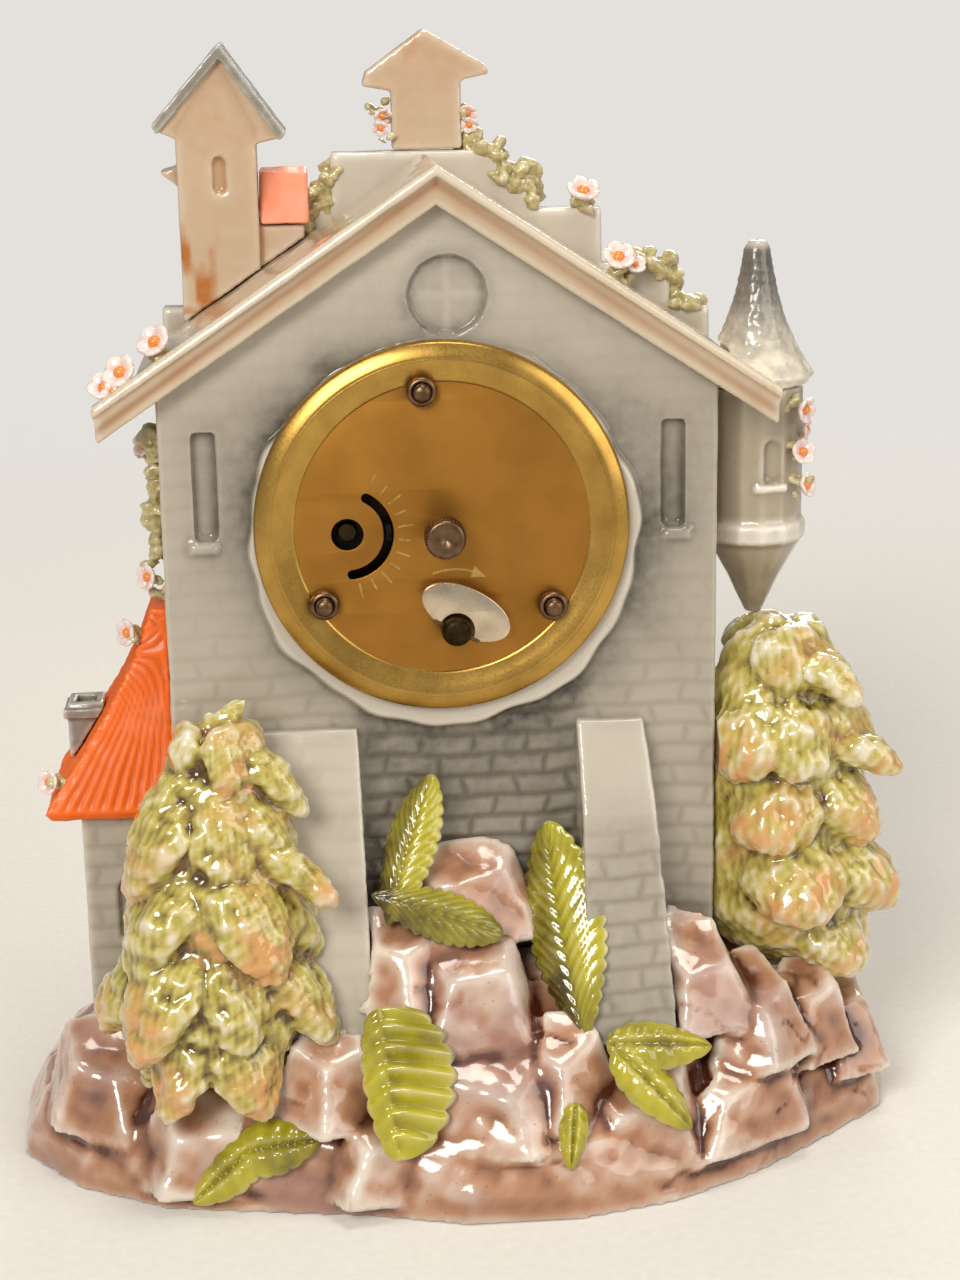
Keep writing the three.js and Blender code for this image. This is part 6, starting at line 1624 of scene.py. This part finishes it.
class CLOCK_OT_key_and_knob(ClockOperator, bpy.types.Operator):
    """Folding winding key, knurled setting knob and the regulator's tab"""

    bl_idname = "clock.key_and_knob"
    bl_label = "Key and knob"

    hub = (
        (0.0, 0.4), (2.5, 0.4), (2.9, 0.55), (2.95, 4.1), (2.82, 4.85), (2.45, 5.5), (2.05, 5.88),
        (1.7, 5.98), (0.0, 6.0),
    )
    # Half axes of the oval wing, its middle above the hinge, its notch and its thickness
    wing_half, wing_middle, notch, wing_thick = (9.2, 4.7), 3.95, 3.35, 0.9
    key_tilt, hinge = -28.0, 3.4
    knob = (
        (0.0, 5.0), (3.3, 5.0), (3.62, 5.25), (3.66, 9.6), (3.4, 9.92), (3.1, 10.0), (0.8, 10.0),
        (0.5, 9.7), (0.0, 9.6),
    )
    # Middle of the knob above the plate, and inner radius, length, width and height of its ribs
    knob_middle, knurl = 7.5, (3.45, 0.46, 0.26, 4.1)

    def execute(self, context):
        scene, made = context.scene, finishes(context.scene)
        knurls = scene.clock_sizes.knurls
        dark = made["browned_steel"]
        knob = turned("setting_knob_turned", self.knob, sides=72)
        seat(knob, dark, "dark_steel", "setting_knob", body="hand_setting")
        ribs = bars("setting_knob_knurls", dark, knurls, 0, 360 / knurls, *self.knurl)
        stand(ribs, (0, 0), CAP_FACE_Y - self.knob_middle)
        seat(ribs, None, "dark_steel", body="hand_setting", sharp=30)
        hub = turned("key_hub_turned", self.hub, BARREL, 56)
        seat(hub, made["aged_brass"], "dark_steel", "key_hub", body="winding_key")
        wing = stamped("key_wing_rounded", [self.wing_outline()], self.wing_thick, 0.16)
        stand(wing, BARREL, CAP_FACE_Y - self.hinge)
        seat(wing, made["polished_nickel"], "nickel", "key_wing", body="key_wing", sharp=40)
        coat("key_pin", dark)
        coat("regulator_index", made["blackened_steel"])
        return {"FINISHED"}

    def wing_outline(self):
        """An oval with a round notch that clears the hub."""
        half, up = self.wing_half, self.wing_middle
        start = -math.degrees(math.acos(self.notch / half[0]))
        oval = [(half[0] * u, up + half[1] * v) for u, v in arc(1.0, start, 180 - start, 60)]
        tilt = math.radians(self.key_tilt)
        c, s = math.cos(tilt), math.sin(tilt)
        return [(u * c - v * s, u * s + v * c) for u, v in oval + arc(self.notch, 180, 0, 24)]


class CLOCK_OT_movement(ClockOperator, bpy.types.Operator):
    """Brass plates and wheels and steel arbors of the movement inside"""

    bl_idname = "clock.movement"
    bl_label = "Movement"

    nodes = {
        # The back plate is painted dark, as shade behind the cap's slot and eye
        "aged_brass": ("back_plate",),
        "movement_brass": (
            "front_plate", "mainspring_barrel", "intermediate_wheel", "centre_wheel", "third_wheel",
            "fourth_wheel", "balance_wheel", "minute_wheel", "hour_wheel",
        ),
        "movement_steel": (
            "mainspring", "barrel_arbor", "ratchet_wheel", "click", "escape_wheel", "pallet_lever",
            "centre_arbor", "cannon_pinion",
        ),
        "blued_steel": ("hairspring", "hour_hand", "minute_hand"),
    }

    def execute(self, context):
        made = finishes(context.scene)
        for finish, nodes in self.nodes.items():
            for node in nodes:
                coat(node, made[finish])
        return {"FINISHED"}


class CLOCK_OT_dial(ClockOperator, bpy.types.Operator):
    """Enamel dial with plain numerals and minute marks, brass bezel and domed glass"""

    bl_idname = "clock.dial"
    bl_label = "Dial"

    dial_radius, dial_level, numeral_radius, numeral_size = 36.0, FRONT_Y + 1.2, 27.6, 6.6
    # Count, first angle, step, inner radius, length, width and height of the minute marks
    minutes = (60, 0, 6, 31.6, 2.6, 0.3, 0.06)
    glass_edge, glass_rise, glass_thick = 5.6, 2.6, 0.9
    bezel = (
        (36.3, 0.3), (39.9, 0.3), (40.0, 1.2), (39.7, 2.6), (39.0, 4.2), (38.0, 5.5), (36.8, 6.2),
        (35.6, 6.4), (34.7, 6.1), (34.9, 5.6), (36.3, 5.4),
    )

    def execute(self, context):
        made = finishes(context.scene)
        plate = stamped("dial_plate", [circle(self.dial_radius, 128), circle(2.95, 40)], 0.9, 0.12)
        stand(plate, (0, 0), FRONT_Y + 0.75, front=True)
        seat(plate, made["dial_enamel"], "dial_enamel", "dial", sharp=40)
        marks = bars("minute_marks", made["printed_black"], *self.minutes)
        seat(stand(marks, (0, 0), self.dial_level, front=True), None, "dial_enamel", sharp=30)
        self.numerals(made["printed_black"])
        ring = turned("bezel_turned", self.bezel, sides=128, level=FRONT_Y, front=True)
        seat(ring, made["lacquered_brass"], "cap_brass", "bezel", sharp=50)
        out = [
            (r, self.glass_edge + self.glass_rise * (1 - (r / self.dial_radius) ** 2))
            for r in np.linspace(0.0, self.dial_radius - 0.1, 24)
        ]
        back = [(r, level - self.glass_thick) for r, level in reversed(out)]
        glass = turned("crystal_domed", out + back, sides=128, level=FRONT_Y, front=True)
        seat(glass, made["domed_glass"], "glass", "crystal")
        return {"FINISHED"}

    def numerals(self, ink):
        figures = []
        for hour in range(1, 13):
            text = bpy.data.curves.new("numeral", "FONT")
            text.body = str(hour)
            text.size = self.numeral_size * MM
            text.align_x = "CENTER"
            text.align_y = "CENTER"
            text.extrude = 0.03 * MM
            (place,) = arc(self.numeral_radius, 90 - 30 * hour, 90 - 30 * hour, 1)
            figures.append(stand(curve_mesh("dial_numerals", text), place, self.dial_level, front=True))
        seat(joined(*figures), ink, "dial_enamel", sharp=30)


class CLOCK_PT_panel(bpy.types.Panel):
    """Shows the clock's sizes and colours and a button for each of its steps"""

    bl_idname = "CLOCK_PT_panel"
    bl_label = "Porcelain clock"
    bl_space_type = "VIEW_3D"
    bl_region_type = "UI"
    bl_category = "Clock"

    def draw(self, context):
        layout = self.layout
        for group in (context.scene.clock_sizes, context.scene.clock_colours):
            box = layout.box()
            for name in group.__annotations__:
                box.prop(group, name)
        for operator in OPERATORS:
            layout.operator(operator.bl_idname)


OPERATORS = (
    CLOCK_OT_stage,
    CLOCK_OT_walls,
    CLOCK_OT_towers,
    CLOCK_OT_roofs,
    CLOCK_OT_rock,
    CLOCK_OT_firs,
    CLOCK_OT_leaves,
    CLOCK_OT_flowers,
    CLOCK_OT_rear_cap,
    CLOCK_OT_key_and_knob,
    CLOCK_OT_movement,
    CLOCK_OT_dial,
)
CLASSES = (ClockSizes, ClockColours, *OPERATORS, CLOCK_PT_panel)


def register():
    for cls in CLASSES:
        bpy.utils.register_class(cls)
    bpy.types.Scene.clock_sizes = PointerProperty(type=ClockSizes)
    bpy.types.Scene.clock_colours = PointerProperty(type=ClockColours)


def unregister():
    del bpy.types.Scene.clock_colours
    del bpy.types.Scene.clock_sizes
    for cls in reversed(CLASSES):
        bpy.utils.unregister_class(cls)


def main():
    register()
    for operator in OPERATORS:
        group, name = operator.bl_idname.split(".")
        getattr(getattr(bpy.ops, group), name)()


if __name__ == "__main__":
    main()
